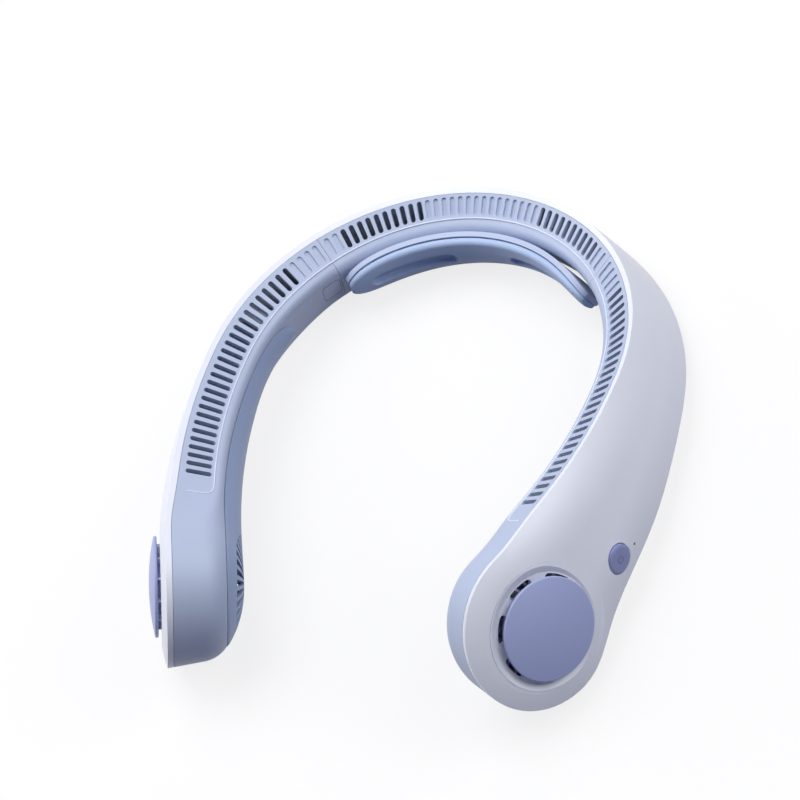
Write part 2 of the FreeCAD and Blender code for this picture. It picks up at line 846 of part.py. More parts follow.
def board_corners():
    """Three corners where the control board stands on the outer shell, in the button's frame."""
    inset_by = 2.2 * size("board_post")
    left = size("board_back") - size("board_length") + inset_by
    right = size("board_back") - inset_by
    low = inset_by - size("board_low")
    high = size("board_height") - size("board_low") - inset_by
    return [Vector(left, high, 0), Vector(right, high, 0), Vector(left, low, 0)]


def board_posts():
    """Posts from the outer shell down to the control board."""
    post = Part.makeCylinder(size("board_post"), 2 * size("board_depth"))
    limit = loft_right(outer_core, stations(0.0, size("arm_at")))
    frame = button_frame(BOARD_TOP)
    corners = [Placement(corner, Rotation()) for corner in board_corners()]
    return [placed(placed(post, corner), frame).common(limit) for corner in corners]


# Inner shells

def make_inner_shells():
    """Blue shell in three lengths, with slots, blower inlets and screw seats."""
    gap = size("seam_gap") / 2
    arm = loft_right(lambda at: inner_profile(at)[0], stations(0.0, JOINT_AT - gap))
    arm = arm.fuse([pod_turn(inner_profile(0.0)[1])] + cap_seats())
    cutters = slot_cutters(ARM_OPEN, ARM_BLANK)
    inlet = Part.makeCylinder(size("inlet_radius"), 3 * size("shell_wall"))
    cutters.append(placed(inlet, fan_frame(-size("inner_face_in") - size("shell_wall"))))
    for name in SCREWS:
        hole = Part.makeCylinder(size("screw_radius") + size("run_clear"), 4 * size("shell_wall"))
        cutters.append(placed(hole, screw_frame(name, -size("inner_face_in") - size("shell_wall"))))
        sink = screw_sink(name)
        seat = Part.makeCylinder(size("screw_head_radius") + size("run_clear"), 2 * sink)
        cutters.append(placed(seat, screw_frame(name, -size("inner_face_in") - sink)))
    pocket_depth = size("cap_thick") + size("cap_clear") / 2
    length, height = size("cap_length") + 2 * size("cap_clear"), size("cap_height") + 2 * size("cap_clear")
    pocket = rounded_plate(length, height, size("cap_round"), 2 * pocket_depth)
    cutters.append(placed(pocket, screw_frame("cap", -size("inner_face_in") - pocket_depth)))
    arm = arm.cut(cutters).removeSplitter()
    keep_shape("inner_shell_right", arm.cut(socket_mouth()))
    keep_shape("inner_shell_left", mirrored(arm))
    rear = loft_across(lambda at: inner_profile(at)[0], stations(JOINT_AT + gap, BACK_AT))
    sides = slot_cutters(REAR_OPEN, [at for at in REAR_BLANK if at < BACK_AT])
    rear = rear.cut(both_sides(sides) + slot_cutters([], [BACK_AT]))
    keep_shape("inner_shell_rear", rear.removeSplitter())


def cap_seats():
    """Thicker seat inside the shell, below the capped screw."""
    wall = size("shell_wall")
    extra = screw_seat_wall("cap") - wall
    length, height = size("cap_length") + 2 * wall, size("cap_height") + 2 * wall
    seat = rounded_plate(length, height, size("cap_round"), extra + wall / 2)
    return [placed(seat, screw_frame("cap", INNER_WALL_OUT - wall / 2))]


def make_arm_covers():
    """Inner covers of the arms, round at the pod and at the upper end, with a radial grille."""
    half = cover_profile(0.0)[1]
    end_from = size("cover_end_at") - size("cover_end_round")
    places = stations(0.0, end_from)
    places += [end_from + part * size("cover_end_round") for part in (0.4, 0.7, 0.88, 0.97)]
    cover = loft_right(lambda at: cover_profile(at)[0], places).fuse(pod_turn(half))
    depth = 3 * size("cover_out_pod")
    inside = cover.copy()
    inside.translate(axes(0.0)[3] * size("cover_wall"))
    inlet = Part.makeCylinder(size("inlet_radius"), 2 * depth)
    inlet = placed(inlet, fan_frame(-size("inner_face_in") - depth))
    half_slot = size("grille_slot") / 2
    narrow = half_slot * size("grille_inner") / size("grille_outer")
    corners = [Vector(size("grille_inner"), -narrow, 0), Vector(size("grille_outer"), -half_slot, 0),
               Vector(size("grille_outer"), half_slot, 0), Vector(size("grille_inner"), narrow, 0)]
    wedge = Part.Face(Part.makePolygon(corners + corners[:1])).extrude(Vector(0, 0, depth))
    frame = fan_frame(size("seam_gap") - size("inner_face_in") - depth)
    cutters = [inlet.common(inside)]
    cutters += [placed(placed(wedge, turn), frame) for turn in turns("grille_spokes")]
    cover = cover.cut(cutters).removeSplitter()
    keep_shape("arm_cover_right", cover)
    keep_shape("arm_cover_left", mirrored(cover))


# Outer discs

def make_intake_discs():
    """Crowned discs with a round rim and a hub, which stand on the outer shell's ribs."""
    radius, rim, crown = size("disc_radius"), size("disc_rim"), size("disc_crown")
    ball_radius = (radius ** 2 / crown + crown) / 2
    ball = Part.makeSphere(ball_radius, Vector(0, 0, rim + crown - ball_radius))
    disc = Part.makeCylinder(radius, rim + crown).common(ball)
    rims = [edge for edge in disc.Edges if edge.BoundBox.YLength > radius]
    disc = disc.makeFillet(size("disc_round"), rims)
    low = size("run_clear") - size("disc_gap")
    hub = Part.makeCylinder(size("disc_hub"), size("disc_gap"), Vector(0, 0, low))
    disc = disc.fuse(hub).removeSplitter()
    seat = size("face_out_pod") - size("ring_depth") + size("disc_gap")
    for side, name in ((1, "right"), (-1, "left")):
        keep_shape("intake_disc_" + name, disc, fan_frame(seat, side))


# Blower motor and impeller of each pod

def make_blowers():
    """Motor and impeller pieces of both pods, each on the pod's axis."""
    floor = size("face_out_pod") - size("ring_depth") - size("floor_wall")
    tube_low = floor - size("flange_thick") - size("tube_length")
    cup_high = floor - size("flange_thick") - size("cup_rim_gap")
    cup_low = cup_high - size("cup_length")
    stator_low = cup_low + (size("cup_length") + size("cup_end") - size("stator_length")) / 2
    magnet_low = cup_low + (size("cup_length") + size("cup_end") - size("magnet_length")) / 2
    impeller_low = cup_low - size("impeller_cap") - size("fit_clear")
    magnet = ring("rotor_magnet", "Sizes.stator_radius + Sizes.air_gap", magnet_outer(),
                  "Sizes.magnet_length")
    bush = ring("motor_bush", "Sizes.shaft_radius + Sizes.run_clear", "Sizes.bush_radius",
                "Sizes.bush_length")
    pieces = {
        "motor_base": (make_motor_base("motor_base"), tube_low),
        "motor_bush": (bush, tube_low),
        "motor_stator": (make_stator("motor_stator"), stator_low),
        "motor_coils": (make_coils("motor_coils"), stator_low),
        "motor_shaft": (cylinder("motor_shaft", "Sizes.shaft_radius", "Sizes.shaft_length"), cup_low),
        "rotor_cup": (make_rotor_cup("rotor_cup"), cup_low),
        "rotor_magnet": (magnet, magnet_low),
        "impeller": (make_impeller("impeller"), impeller_low),
    }
    doc.recompute()
    for name, (item, low) in pieces.items():
        keep_shape(name + "_left", mirrored(placed(item.Shape, fan_frame(low))))
        keep(name + "_right", item, fan_frame(low))


def magnet_outer():
    """Expression of the magnet ring's outer radius."""
    return "Sizes.stator_radius + Sizes.air_gap + Sizes.magnet_thick"


def cup_inner():
    """Expression of the rotor cup's inner radius."""
    return magnet_outer() + " + Sizes.fit_clear"


def cup_outer():
    """Expression of the rotor cup's outer radius."""
    return cup_inner() + " + Sizes.cup_wall"


def make_motor_base(name):
    """Bearing tube with a flange that seats on the intake floor."""
    bore = "Sizes.bush_radius + Sizes.fit_clear"
    bore_end = "Sizes.bush_length + 0.5 * Sizes.flange_thick"
    top = "Sizes.tube_length + Sizes.flange_thick"
    outline = [(bore, "0"), ("Sizes.tube_radius", "0"), ("Sizes.tube_radius", "Sizes.tube_length"),
               ("Sizes.flange_radius", "Sizes.tube_length"), ("Sizes.flange_radius", top), ("0", top),
               ("0", bore_end), (bore, bore_end)]
    return turned_body(name, outline)


def make_rotor_cup(name):
    """Steel cup, open towards the motor's flange, with a hub for the shaft."""
    hole = "Sizes.shaft_radius + Sizes.fit_clear"
    hub_top = "Sizes.cup_end + Sizes.cup_hub_length"
    outline = [(hole, "0"), (cup_outer(), "0"), (cup_outer(), "Sizes.cup_length"),
               (cup_inner(), "Sizes.cup_length"), (cup_inner(), "Sizes.cup_end"),
               ("Sizes.cup_hub_radius", "Sizes.cup_end"), ("Sizes.cup_hub_radius", hub_top), (hole, hub_top)]
    return turned_body(name, outline)


def around(name, source, copies, number):
    """Copies of one object turned about Z, with the source as the first."""
    items = [source]
    for step in range(1, copies):
        copy = doc.addObject("Part::Feature", "%s_copy_%d_%d" % (name, number, step))
        copy.Shape = source.Shape
        turn = Placement(Vector(), Rotation(Vector(0, 0, 1), step * 360.0 / copies))
        copy.Placement = turn.multiply(source.Placement)
        items.append(copy)
    return items


def make_stator(name):
    """Laminated core: hub, radial poles and their curved shoes."""
    hub = ring(name + "_hub", "Sizes.tube_radius + Sizes.fit_clear", "Sizes.stator_hub",
               "Sizes.stator_length")
    arm = block(name + "_arm", "Sizes.stator_radius - 0.5 * Sizes.stator_shoe - 0.9 * Sizes.stator_hub",
                "Sizes.pole_width", "Sizes.stator_length",
                ("0.9 * Sizes.stator_hub", "-Sizes.pole_width / 2", "0"))
    shoe_ring = ring(name + "_shoes", "Sizes.stator_radius - Sizes.stator_shoe", "Sizes.stator_radius",
                     "Sizes.stator_length")
    sector = block(name + "_sector", "Sizes.stator_radius + 1", "2.4 * Sizes.pole_width",
                   "Sizes.stator_length", ("0", "-1.2 * Sizes.pole_width", "0"))
    shoe = common(name + "_shoe", shoe_ring, sector)
    doc.recompute()
    poles = count("pole_count")
    items = around(name, arm, poles, 1) + around(name, shoe, poles, 2)
    return fuse(name, [hub] + items)


def make_coils(name):
    """Windings, one round each pole."""
    outer = block(name + "_outer", "Sizes.coil_outer - Sizes.coil_inner",
                  "Sizes.pole_width + 2 * Sizes.coil_wall", "Sizes.stator_length + 2 * Sizes.coil_wall",
                  ("Sizes.coil_inner", "-Sizes.pole_width / 2 - Sizes.coil_wall", "-Sizes.coil_wall"))
    clear = "Sizes.fit_clear"
    core = block(name + "_core", "Sizes.coil_outer", "Sizes.pole_width + 2 * " + clear,
                 "Sizes.stator_length + 2 * " + clear,
                 ("0", "-Sizes.pole_width / 2 - " + clear, "-" + clear))
    coil = cut(name + "_coil", outer, core)
    doc.recompute()
    group = doc.addObject("Part::Compound", name)
    group.Links = around(name, coil, count("pole_count"), 1)
    return group


def make_impeller(name):
    """Double-inlet wheel: hub cap, middle plate, ring of swept blades and two end rings."""
    hub_inner = cup_outer() + " + Sizes.fit_clear"
    hub_outer = hub_inner + " + Sizes.impeller_hub_wall"
    low = "(Sizes.impeller_length - Sizes.impeller_plate) / 2"
    cap = cylinder(name + "_cap", hub_outer, "Sizes.impeller_cap")
    hub = ring(name + "_hub", hub_inner, hub_outer, low + " + Sizes.impeller_plate")
    plate = ring(name + "_plate", hub_inner + " + Sizes.impeller_hub_wall / 2", "Sizes.impeller_radius",
                 "Sizes.impeller_plate", low)
    ring_inner = "Sizes.impeller_radius - Sizes.impeller_ring"
    rim_low = ring(name + "_rim_low", ring_inner, "Sizes.impeller_radius", "Sizes.impeller_ring")
    rim_high = ring(name + "_rim_high", ring_inner, "Sizes.impeller_radius", "Sizes.impeller_ring",
                    "Sizes.impeller_length - Sizes.impeller_ring")
    inner, outer = size("impeller_inner"), size("impeller_radius") - 0.5 * size("impeller_ring")
    sweep = math.radians(size("blade_sweep"))
    reach = outer * math.cos(math.asin(inner * math.sin(sweep) / outer)) - inner * math.cos(sweep)
    blade = bound("Part::Box", name + "_blade", Width="Sizes.blade_thick", Height="Sizes.impeller_length")
    blade.Length = reach
    blade.Placement = Placement(Vector(inner, 0, 0), Rotation(Vector(0, 0, 1), size("blade_sweep")))
    doc.recompute()
    blades = around(name, blade, count("blade_count"), 1)
    return fuse(name, [cap, hub, plate, rim_low, rim_high] + blades)


# Control board, button and socket

def make_controls():
    """Button, light, switch, socket and the board that carries them, all in the button's frame."""
    board = block("control_board", "Sizes.board_length", "Sizes.board_height", "Sizes.board_thick")
    board_frame = button_frame(BOARD_TOP - size("board_thick"))
    board_from = size("board_back") - size("board_length")
    keep("control_board", board, moved(board_frame, board_from, -size("board_low")))
    base = block("power_switch_base", "Sizes.switch_side", "Sizes.switch_side", "Sizes.switch_height",
                 ("-Sizes.switch_side / 2", "-Sizes.switch_side / 2", "0"))
    plunger = cylinder("power_switch_plunger", "Sizes.plunger_radius", "Sizes.plunger_height",
                       "Sizes.switch_height")
    keep("power_switch", fuse("power_switch", [base, plunger]), button_frame(BOARD_TOP))
    keep("power_button", make_button(), button_frame(BOARD_TOP + switch_reach()))
    lens = cylinder("status_lens", "Sizes.lens_radius", "Sizes.shell_wall + Sizes.lens_proud")
    keep("status_lens", lens, lens_frame(-size("shell_wall")))
    case = block("charge_socket_case", "Sizes.socket_width", "Sizes.socket_depth", "Sizes.socket_thick",
                 ("-Sizes.socket_width / 2", "0", "0"))
    mouth = block("charge_socket_mouth", "Sizes.socket_width - 2 * Sizes.socket_wall",
                  "0.8 * Sizes.socket_depth", "Sizes.socket_thick - 2 * Sizes.socket_wall",
                  ("Sizes.socket_wall - Sizes.socket_width / 2", "-0.1 * Sizes.socket_depth",
                   "Sizes.socket_wall"))
    socket_frame = moved(button_frame(BOARD_TOP), size("socket_along"), -size("socket_low"))
    keep("charge_socket", cut("charge_socket", case, mouth), socket_frame)


def switch_reach():
    """Height of the button's stem end above the board at rest."""
    return size("switch_height") + size("plunger_height") + size("button_travel") + size("run_clear")


def make_button():
    """Round bevelled button with a lip behind the shell and a stem over the switch."""
    top = size("board_depth") + size("button_proud") - switch_reach()
    crown = bound("Part::Cylinder", "power_button_crown", Radius="Sizes.button_radius")
    crown.setExpression("Height", "Sizes.button_body - Sizes.button_bevel")
    crown.Placement = Placement(Vector(0, 0, top - size("button_body")), Rotation())
    bevel = bound("Part::Cone", "power_button_bevel", Radius1="Sizes.button_radius",
                  Radius2="Sizes.button_radius - Sizes.button_bevel_run", Height="Sizes.button_bevel")
    bevel.Placement = Placement(Vector(0, 0, top - size("button_bevel")), Rotation())
    lip = bound("Part::Cylinder", "power_button_lip", Radius="Sizes.button_radius + Sizes.button_lip")
    lip.setExpression("Height", "Sizes.button_lip_thick")
    low = top - size("button_body") - size("button_lip_thick") / 2
    lip.Placement = Placement(Vector(0, 0, low), Rotation())
    stem = bound("Part::Cylinder", "power_button_stem", Radius="Sizes.stem_radius")
    stem.Height = top - size("button_body") / 2
    return fuse("power_button", [crown, bevel, lip, stem])


# Battery cells, lead and duct floors

def make_power():
    """Cells in the arms, the lead between them and the duct floors above them."""
    for side, name in ((1, "right"), (-1, "left")):
        label = "battery_" + name
        cell = block(label, "Sizes.cell_length", "Sizes.cell_height", "Sizes.cell_thick")
        frame = section_frame(size("cell_at"), INNER_WALL_OUT + size("cell_gap"), size("cell_up"), side)
        keep(label, cell, moved(frame, -size("cell_length") / 2, -size("cell_height")))
    keep_shape("battery_lead", lead_tube())
    floor = loft_right(floor_profile, stations(size("floor_from"), size("floor_to")))
    keep_shape("duct_floor_right", floor)
    keep_shape("duct_floor_left", mirrored(floor))


def lead_tube():
    """Lead along the back half circle, from cell to cell."""
    start = spot(BACK_AT - NECK_LENGTH, size("lead_out"), size("lead_up"))
    gap = math.asin(2 * size("lead_radius") / size("neck_radius"))
    radius = start.x
    centre = Vector(0, 0, start.z)
    first = centre + Vector(radius * math.cos(gap), radius * math.sin(gap), 0)
    middle = centre + Vector(0, radius, 0)
    last = centre + Vector(-radius * math.cos(gap), radius * math.sin(gap), 0)
    path = Part.Wire([Part.Arc(first, middle, last).toShape()])
    heading = Vector(-math.sin(gap), math.cos(gap), 0)
    section = Part.Wire([Part.makeCircle(size("lead_radius"), first, heading)])
    return path.makePipeShell([section], True, False)


def floor_profile(at):
    """Thin plate across the arm, between the two shells' walls."""
    gap = size("seam_gap")
    top = seam_up(at) - size("floor_drop")
    inner = INNER_WALL_OUT + gap
    outer = outer_surface(at, 2 * middle_up(at) - top) - size("shell_wall") - 2 * gap
    low = top - size("floor_thick")
    return [(outer, top), (inner, top), (inner, low), (outer, low)]


# Screws and caps

def make_fasteners():
    """Screws of both arms, grouped by kind, and the caps over the rear pair."""
    groups = {"arm_screws": ("pod", "arm"), "rear_screws": ("cap",)}
    for label, names in groups.items():
        screws = []
        for name in names:
            for side, side_name in ((1, "right"), (-1, "left")):
                screw = make_screw("%s_%s_%s" % (label, name, side_name))
                screw.Placement = screw_frame(name, screw_sink(name) - size("inner_face_in"), side).multiply(
                    Placement(Vector(0, 0, -size("screw_head")), Rotation()))
                screws.append(screw)
        group = doc.addObject("Part::Compound", label)
        group.Links = screws
        keep(label, group)
    plate = rounded_plate(size("cap_length"), size("cap_height"), size("cap_round"), size("cap_thick"))
    cap = placed(plate, screw_frame("cap", -size("inner_face_in")))
    keep_shape("screw_caps", Part.makeCompound(both_sides([cap])))


def make_screw(name):
    """Pan-head screw whose head lies at level zero and up."""
    top = "Sizes.screw_head + Sizes.screw_length - Sizes.run_clear"
    return turned_body(name, [("0", "0"), ("Sizes.screw_head_radius", "0"),
                              ("Sizes.screw_head_radius", "Sizes.screw_head"),
                              ("Sizes.screw_radius", "Sizes.screw_head"), ("Sizes.screw_radius", top),
                              ("0", top)])


# Neck pad

def pad_back(at):
    """Where the pad plate's back lies, a little further from the band towards its ends."""
    part = (BACK_AT - at) / size("pad_reach")
    return -size("inner_face_in") - size("pad_gap") - size("pad_end_gap") * part ** 2


def pad_half(at):
    """Half height of the pad, which closes in a round end."""
    part = min((BACK_AT - at) / size("pad_reach"), 1.0)
    return size("pad_height") / 2 * (1 - part ** 8) ** 0.5


def pad_middle():
    """Mid height of the pad."""
    return size("pad_top") - size("pad_height") / 2


def pad_places():
    """Places for the pad's sections, from its right end to the back centre."""
    parts = (0.985, 0.95, 0.88, 0.77, 0.62, 0.42, 0.2, 0.0)
    return [BACK_AT - part * size("pad_reach") for part in parts]


def plate_profile(at):
    """Flat section of the pad's rigid plate."""
    back, half, middle = pad_back(at), pad_half(at), pad_middle()
    front = back - size("plate_thick")
    return [(back, middle + half), (front, middle + half), (front, middle - half), (back, middle - half)]


def cushion_profile(at):
    """Crowned section of the soft cushion, with drawn-in sides."""
    middle = pad_middle()
    half = pad_half(at)
    inset_by = min(size("cushion_inset"), 0.3 * half)
    base = pad_back(at) - size("plate_thick") - size("seam_gap")
    face = base - size("cushion_thick") * min(1.0, 0.35 + 0.65 * half / (size("pad_height") / 2))
    crown = size("cushion_crown") * half / (size("pad_height") / 2)
    foot, brow = half - inset_by, half - 2.2 * inset_by
    side = (base + face) / 2
    return [((side, middle + half - 0.8 * inset_by), (face + crown, middle + brow)),
            ((face, middle), (face + crown, middle - brow)),
            ((side, middle - half + 0.8 * inset_by), (base, middle - foot)), (base, middle + foot)]


def channel_tool(side):
    """Cutter of one long round-ended channel in the cushion's face."""
    width, middle = size("channel_width"), pad_middle()

    def profile(at):
        near = min(at - (BACK_AT - size("channel_to")), BACK_AT - size("channel_from") - at)
        reach = min(max(near, 0.0), width / 2)
        half = math.sqrt(max((width / 2) ** 2 - (width / 2 - reach) ** 2, (width / 12) ** 2))
        face = pad_back(at) - size("plate_thick") - size("seam_gap") - size("cushion_thick")
        deep = face + size("channel_depth")
        front = face - size("cushion_thick")
        return [(deep, middle + half), (front, middle + half), (front, middle - half), (deep, middle - half)]

    start, end = BACK_AT - size("channel_to"), BACK_AT - size("channel_from")
    parts = [start, start + width / 10, start + width / 4, start + width / 2]
    parts += [start + (end - start) * step / 8 for step in (2, 3, 4, 5, 6)]
    parts += [end - width / 2, end - width / 4, end - width / 10, end]
    wires = [section_wire(at, profile(at), side) for at in parts]
    return Part.makeLoft(wires, True, True)


def make_pad():
    """Rigid plate, soft cushion and the foot that carries them off the band."""
    keep_shape("pad_plate", loft_across(plate_profile, pad_places()))
    cushion = loft_across(cushion_profile, pad_places())
    keep_shape("pad_cushion", cushion.cut([channel_tool(1), channel_tool(-1)]))

    def foot_profile(at):
        gap = size("seam_gap") / 2
        outer, inner = -size("inner_face_in") - gap, pad_back(at) + gap
        half, middle = size("bracket_height") / 2, middle_up(BACK_AT)
        top, low = middle + half, middle - half
        return [(outer, top), (inner, top), (inner, low), (outer, low)]

    places = [BACK_AT - part * size("bracket_half") for part in (1.0, 0.5, 0.0)]
    keep_shape("pad_bracket", loft_across(foot_profile, places))


make_outer_shell()
make_inner_shells()
make_arm_covers()
make_intake_discs()
make_blowers()
make_controls()
make_power()
make_fasteners()
make_pad()
doc.recompute()

# Rest placement: tilt the band onto its pods and back, then centre it on the floor
tilt = Placement(Vector(), Rotation(Vector(1, 0, 0), -size("rest_tilt")))
for item, frame in NODES.values():
    item.Placement = tilt.multiply(frame.multiply(item.Placement))
doc.recompute()
whole = FreeCAD.BoundBox()
for item, frame in NODES.values():
    whole.add(item.Shape.optimalBoundingBox(False, False))
shift = Placement(Vector(-whole.Center.x, -whole.Center.y, -whole.ZMin), Rotation())
for item, frame in NODES.values():
    item.Placement = shift.multiply(item.Placement)
doc.recompute()

for item in doc.Objects:
    if "Invalid" in item.State or "Error" in item.State:
        raise RuntimeError("%s did not build: %s" % (item.Label, item.State))
for label, (item, frame) in NODES.items():
    if item.Shape.isNull() or not item.Shape.isValid():
        raise RuntimeError("%s has no valid shape" % label)

os.makedirs("parts", exist_ok=True)
for label, (item, frame) in NODES.items():
    item.Shape.exportStep(os.path.join("parts", label + ".step"))
print("%d pieces, %.1f x %.1f x %.1f mm" % (len(NODES), whole.XLength, whole.YLength, whole.ZLength))
print("moved by %.3f, %.3f, %.3f mm after the tilt" % (shift.Base.x, shift.Base.y, shift.Base.z))
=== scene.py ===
"""Finishes, neck pad, fine trim and studio of an electric neck fan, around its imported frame."""

import json
from math import atan2, cos, radians, sin

import bmesh
import bpy
from bpy.props import FloatProperty, FloatVectorProperty, IntProperty, PointerProperty
from bpy.types import Operator, Panel, PropertyGroup
from mathutils import Matrix, Vector
from mathutils.bvhtree import BVHTree


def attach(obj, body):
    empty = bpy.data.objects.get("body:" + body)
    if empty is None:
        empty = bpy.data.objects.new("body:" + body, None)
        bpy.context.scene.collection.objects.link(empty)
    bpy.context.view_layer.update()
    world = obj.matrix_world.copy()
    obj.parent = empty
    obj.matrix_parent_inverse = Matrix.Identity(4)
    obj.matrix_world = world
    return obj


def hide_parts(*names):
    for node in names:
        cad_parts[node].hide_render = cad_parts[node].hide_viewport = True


bl_info = {
    "name": "Neck fan",
    "version": (1, 0, 0),
    "blender": (4, 5, 0),
    "location": "View3D > Sidebar > Neck fan",
    "description": "Finishes, neck pad, trim and studio of an electric neck fan",
    "category": "Object",
}

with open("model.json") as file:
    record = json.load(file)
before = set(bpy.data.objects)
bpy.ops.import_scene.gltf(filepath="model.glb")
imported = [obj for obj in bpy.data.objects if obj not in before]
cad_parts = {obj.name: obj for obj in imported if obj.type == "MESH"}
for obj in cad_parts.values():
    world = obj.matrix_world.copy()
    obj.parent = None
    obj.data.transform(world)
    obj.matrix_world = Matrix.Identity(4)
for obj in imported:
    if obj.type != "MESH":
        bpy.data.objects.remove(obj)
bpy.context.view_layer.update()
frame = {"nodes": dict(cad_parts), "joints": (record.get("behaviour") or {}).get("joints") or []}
NODES = frame["nodes"]
PRESS = next(joint for joint in frame["joints"] if joint["name"] == "power_button_press")
SIDES = ("right", "left")
MM = 0.001

# Points nearer than these are one, on any piece and on a disc; then the depth of a flat face
WELD = 0.001 * MM
DISC_WELD = 0.002 * MM
FLAT = 0.02 * MM

# Angles in radians
QUARTER_TURN = 1.5708
FULL_TURN = 6.28319

# A Wave texture of scale one repeats at this length, in metres
WAVE_PITCH = 0.314

# Refraction of the plastics
PLASTIC_IOR = 1.49
SILICONE_IOR = 1.41

# Colours of the small fittings and of the works inside
SMOKE = (0.03, 0.033, 0.045)
SOLDER_MASK = (0.02, 0.13, 0.06)
TIN = (0.62, 0.62, 0.60, 1.0)
BLACK_PLASTIC = (0.03, 0.03, 0.034)
DRAWN_STEEL = (0.62, 0.62, 0.64)
PLATED_STEEL = (0.58, 0.58, 0.60)
TURNED_STEEL = (0.46, 0.47, 0.49)
SHEET_STEEL = (0.40, 0.41, 0.43)
NATURAL_PLASTIC = (0.62, 0.63, 0.66)
# Dark blue so that the slots read as navy: painted shade inside the slots.
DUCT_PAINTED_SHADE = (0.16, 0.20, 0.36)
# As light as the discs' blue so that the shaded inside of the intake arcs reads pale: painted
# light.
IMPELLER_PAINTED_LIGHT = (0.50, 0.55, 0.78)
BRONZE = (0.55, 0.36, 0.14)
COPPER = (0.60, 0.25, 0.09)
FERRITE = (0.07, 0.07, 0.075)
POUCH_SILVER = (0.50, 0.52, 0.56)
BLACK_SHEATH = (0.02, 0.02, 0.023)

# Power mark: its upward direction, half of the ring's gap in radians, the sides of its line and
# the steps round the ring, then the bar's start and length as shares of the ring's radius
MARK_UP = (0.3, 1.0, 0.0)
MARK_GAP = 0.7
MARK_SIDES = 8
MARK_STEPS = 40
BAR_FROM = 0.25
BAR_LENGTH = 0.9

# Studio: each lamp's name, place and size, and the setting that holds its power
LAMPS = (
    ("key_lamp", (-0.30, 0.32, 1.25), 1.0, "key"),
    ("right_lamp", (0.90, 0.30, 0.75), 0.8, "right"),
    ("left_lamp", (-1.05, -0.1, 0.55), 0.8, "left"),
)
LAMP_AIM = (0.0, 0.0, 0.03)
WHITE = (1.0, 1.0, 1.0, 1.0)
ROOM_COLOUR = (0.62, 0.68, 1.0, 1.0)
FLOOR_GLOW = 0.8
SENSOR_WIDTH = 36.0
CLIP_START = 0.05
CLIP_END = 60.0

# Edge of the slotted panel on the right half, in plan: two points of its short front side, then
# the corner, the arm and the back as arcs
PANEL_FRONT = ((0.06645, -0.04835), (0.06402, -0.04784))

# Centre, radius, first and last angle in degrees, and steps
PANEL_ARCS = (
    ((0.0623, -0.0446), 0.00265, 263.0, 167.0, 3),
    ((-0.0917, 0.0178), 0.16345, -21.5, -3.4, 6),
    ((0.0, 0.0190), 0.0718, 1.7, 90.0, 9),
)

# Height that the edge is dropped from onto the shells
DROP_HEIGHT = 0.2
DOWN = Vector((0.0, 0.0, -1.0))


def tint(name, description, default):
    """A colour that a user may change."""
    return FloatVectorProperty(name=name, description=description, subtype="COLOR", size=3,
                               min=0.0, max=1.0, default=default)


def number(name, description, default, least=0.0, **kind):
    """A number that a user may change."""
    return FloatProperty(name=name, description=description, min=least, default=default, **kind)


def length(name, description, default):
    """A length that a user may change, in metres."""
    return number(name, description, default, subtype="DISTANCE", unit="LENGTH", precision=5)


def power(name, description, default):
    """A lamp's power that a user may change, in watts."""
    return number(name, description, default, subtype="POWER")


def vector(name, description, subtype, default, unit="NONE"):
    """A place or direction that a user may change."""
    return FloatVectorProperty(name=name, description=description, subtype=subtype, unit=unit,
                               size=3, default=default)


# Settings

class FanColours(PropertyGroup):
    """Colours of the plastics."""

    white: tint("Outer shell", "White of the outer shell", (0.84, 0.865, 0.95))
    blue: tint("Inner shell", "Pale blue of the inner shell", (0.47, 0.54, 0.71))
    # The covers' blue is the inner shell's blue made darker; the difference is painted shade, as
    # the covers sit in shade.
    cover: tint("Arm covers", "Blue of the inner arm covers", (0.33, 0.42, 0.63))
    disc: tint("Discs", "Greyish blue of the intake discs", (0.39, 0.44, 0.72))
    button: tint("Button", "Blue of the power button", (0.26, 0.295, 0.54))
    pad: tint("Pad", "Blue of the soft neck pad", (0.45, 0.565, 0.80))
    pad_frame: tint("Pad frame", "Blue of the plate behind the pad", (0.45, 0.52, 0.71))
    mark: tint("Power mark", "Darker blue of the mark on the button", (0.13, 0.15, 0.27))
    # The bead's paler blue is a painted highlight, standing in for the lit edge of the slotted
    # panel.
    bead: tint("Bead", "Paler blue of the bead along the slotted panel", (0.74, 0.79, 0.92))
    joint: tint("Joint", "Darker blue of the line round the screw caps", (0.20, 0.235, 0.37))


class PadSettings(PropertyGroup):
    """Swelling of the soft neck pad."""

    voxel: length("Voxel", "Size of the cells that the pad is remeshed with", 0.00045)
    pressure: number("Pressure", "Air pressure that swells the pad", 4.0)
    frames: IntProperty(name="Frames", description="Steps of the swelling", min=2, max=60,
                        default=20)
    travel: length("Travel", "Furthest that a point of the pad may move", 0.0006)
    smoothing: number("Smoothing", "How far the pad's skin is evened", 0.5, max=1.0)
    fill: number("Fill", "How full the pad is", 0.85, subtype="FACTOR", max=1.0)


class TrimSettings(PropertyGroup):
    """Fine lines of the slotted panel, of the screw caps and of the button's mark."""

    panel_line: length("Panel line", "Half width of the bead along the slotted panel", 0.00028)
    cap_line: length("Cap line", "Half width of the line round a screw cap", 0.00013)
    mark_radius: length("Mark radius", "Radius of the ring on the button", 0.0013)
    mark_line: length("Mark line", "Half width of the button's mark", 0.00016)


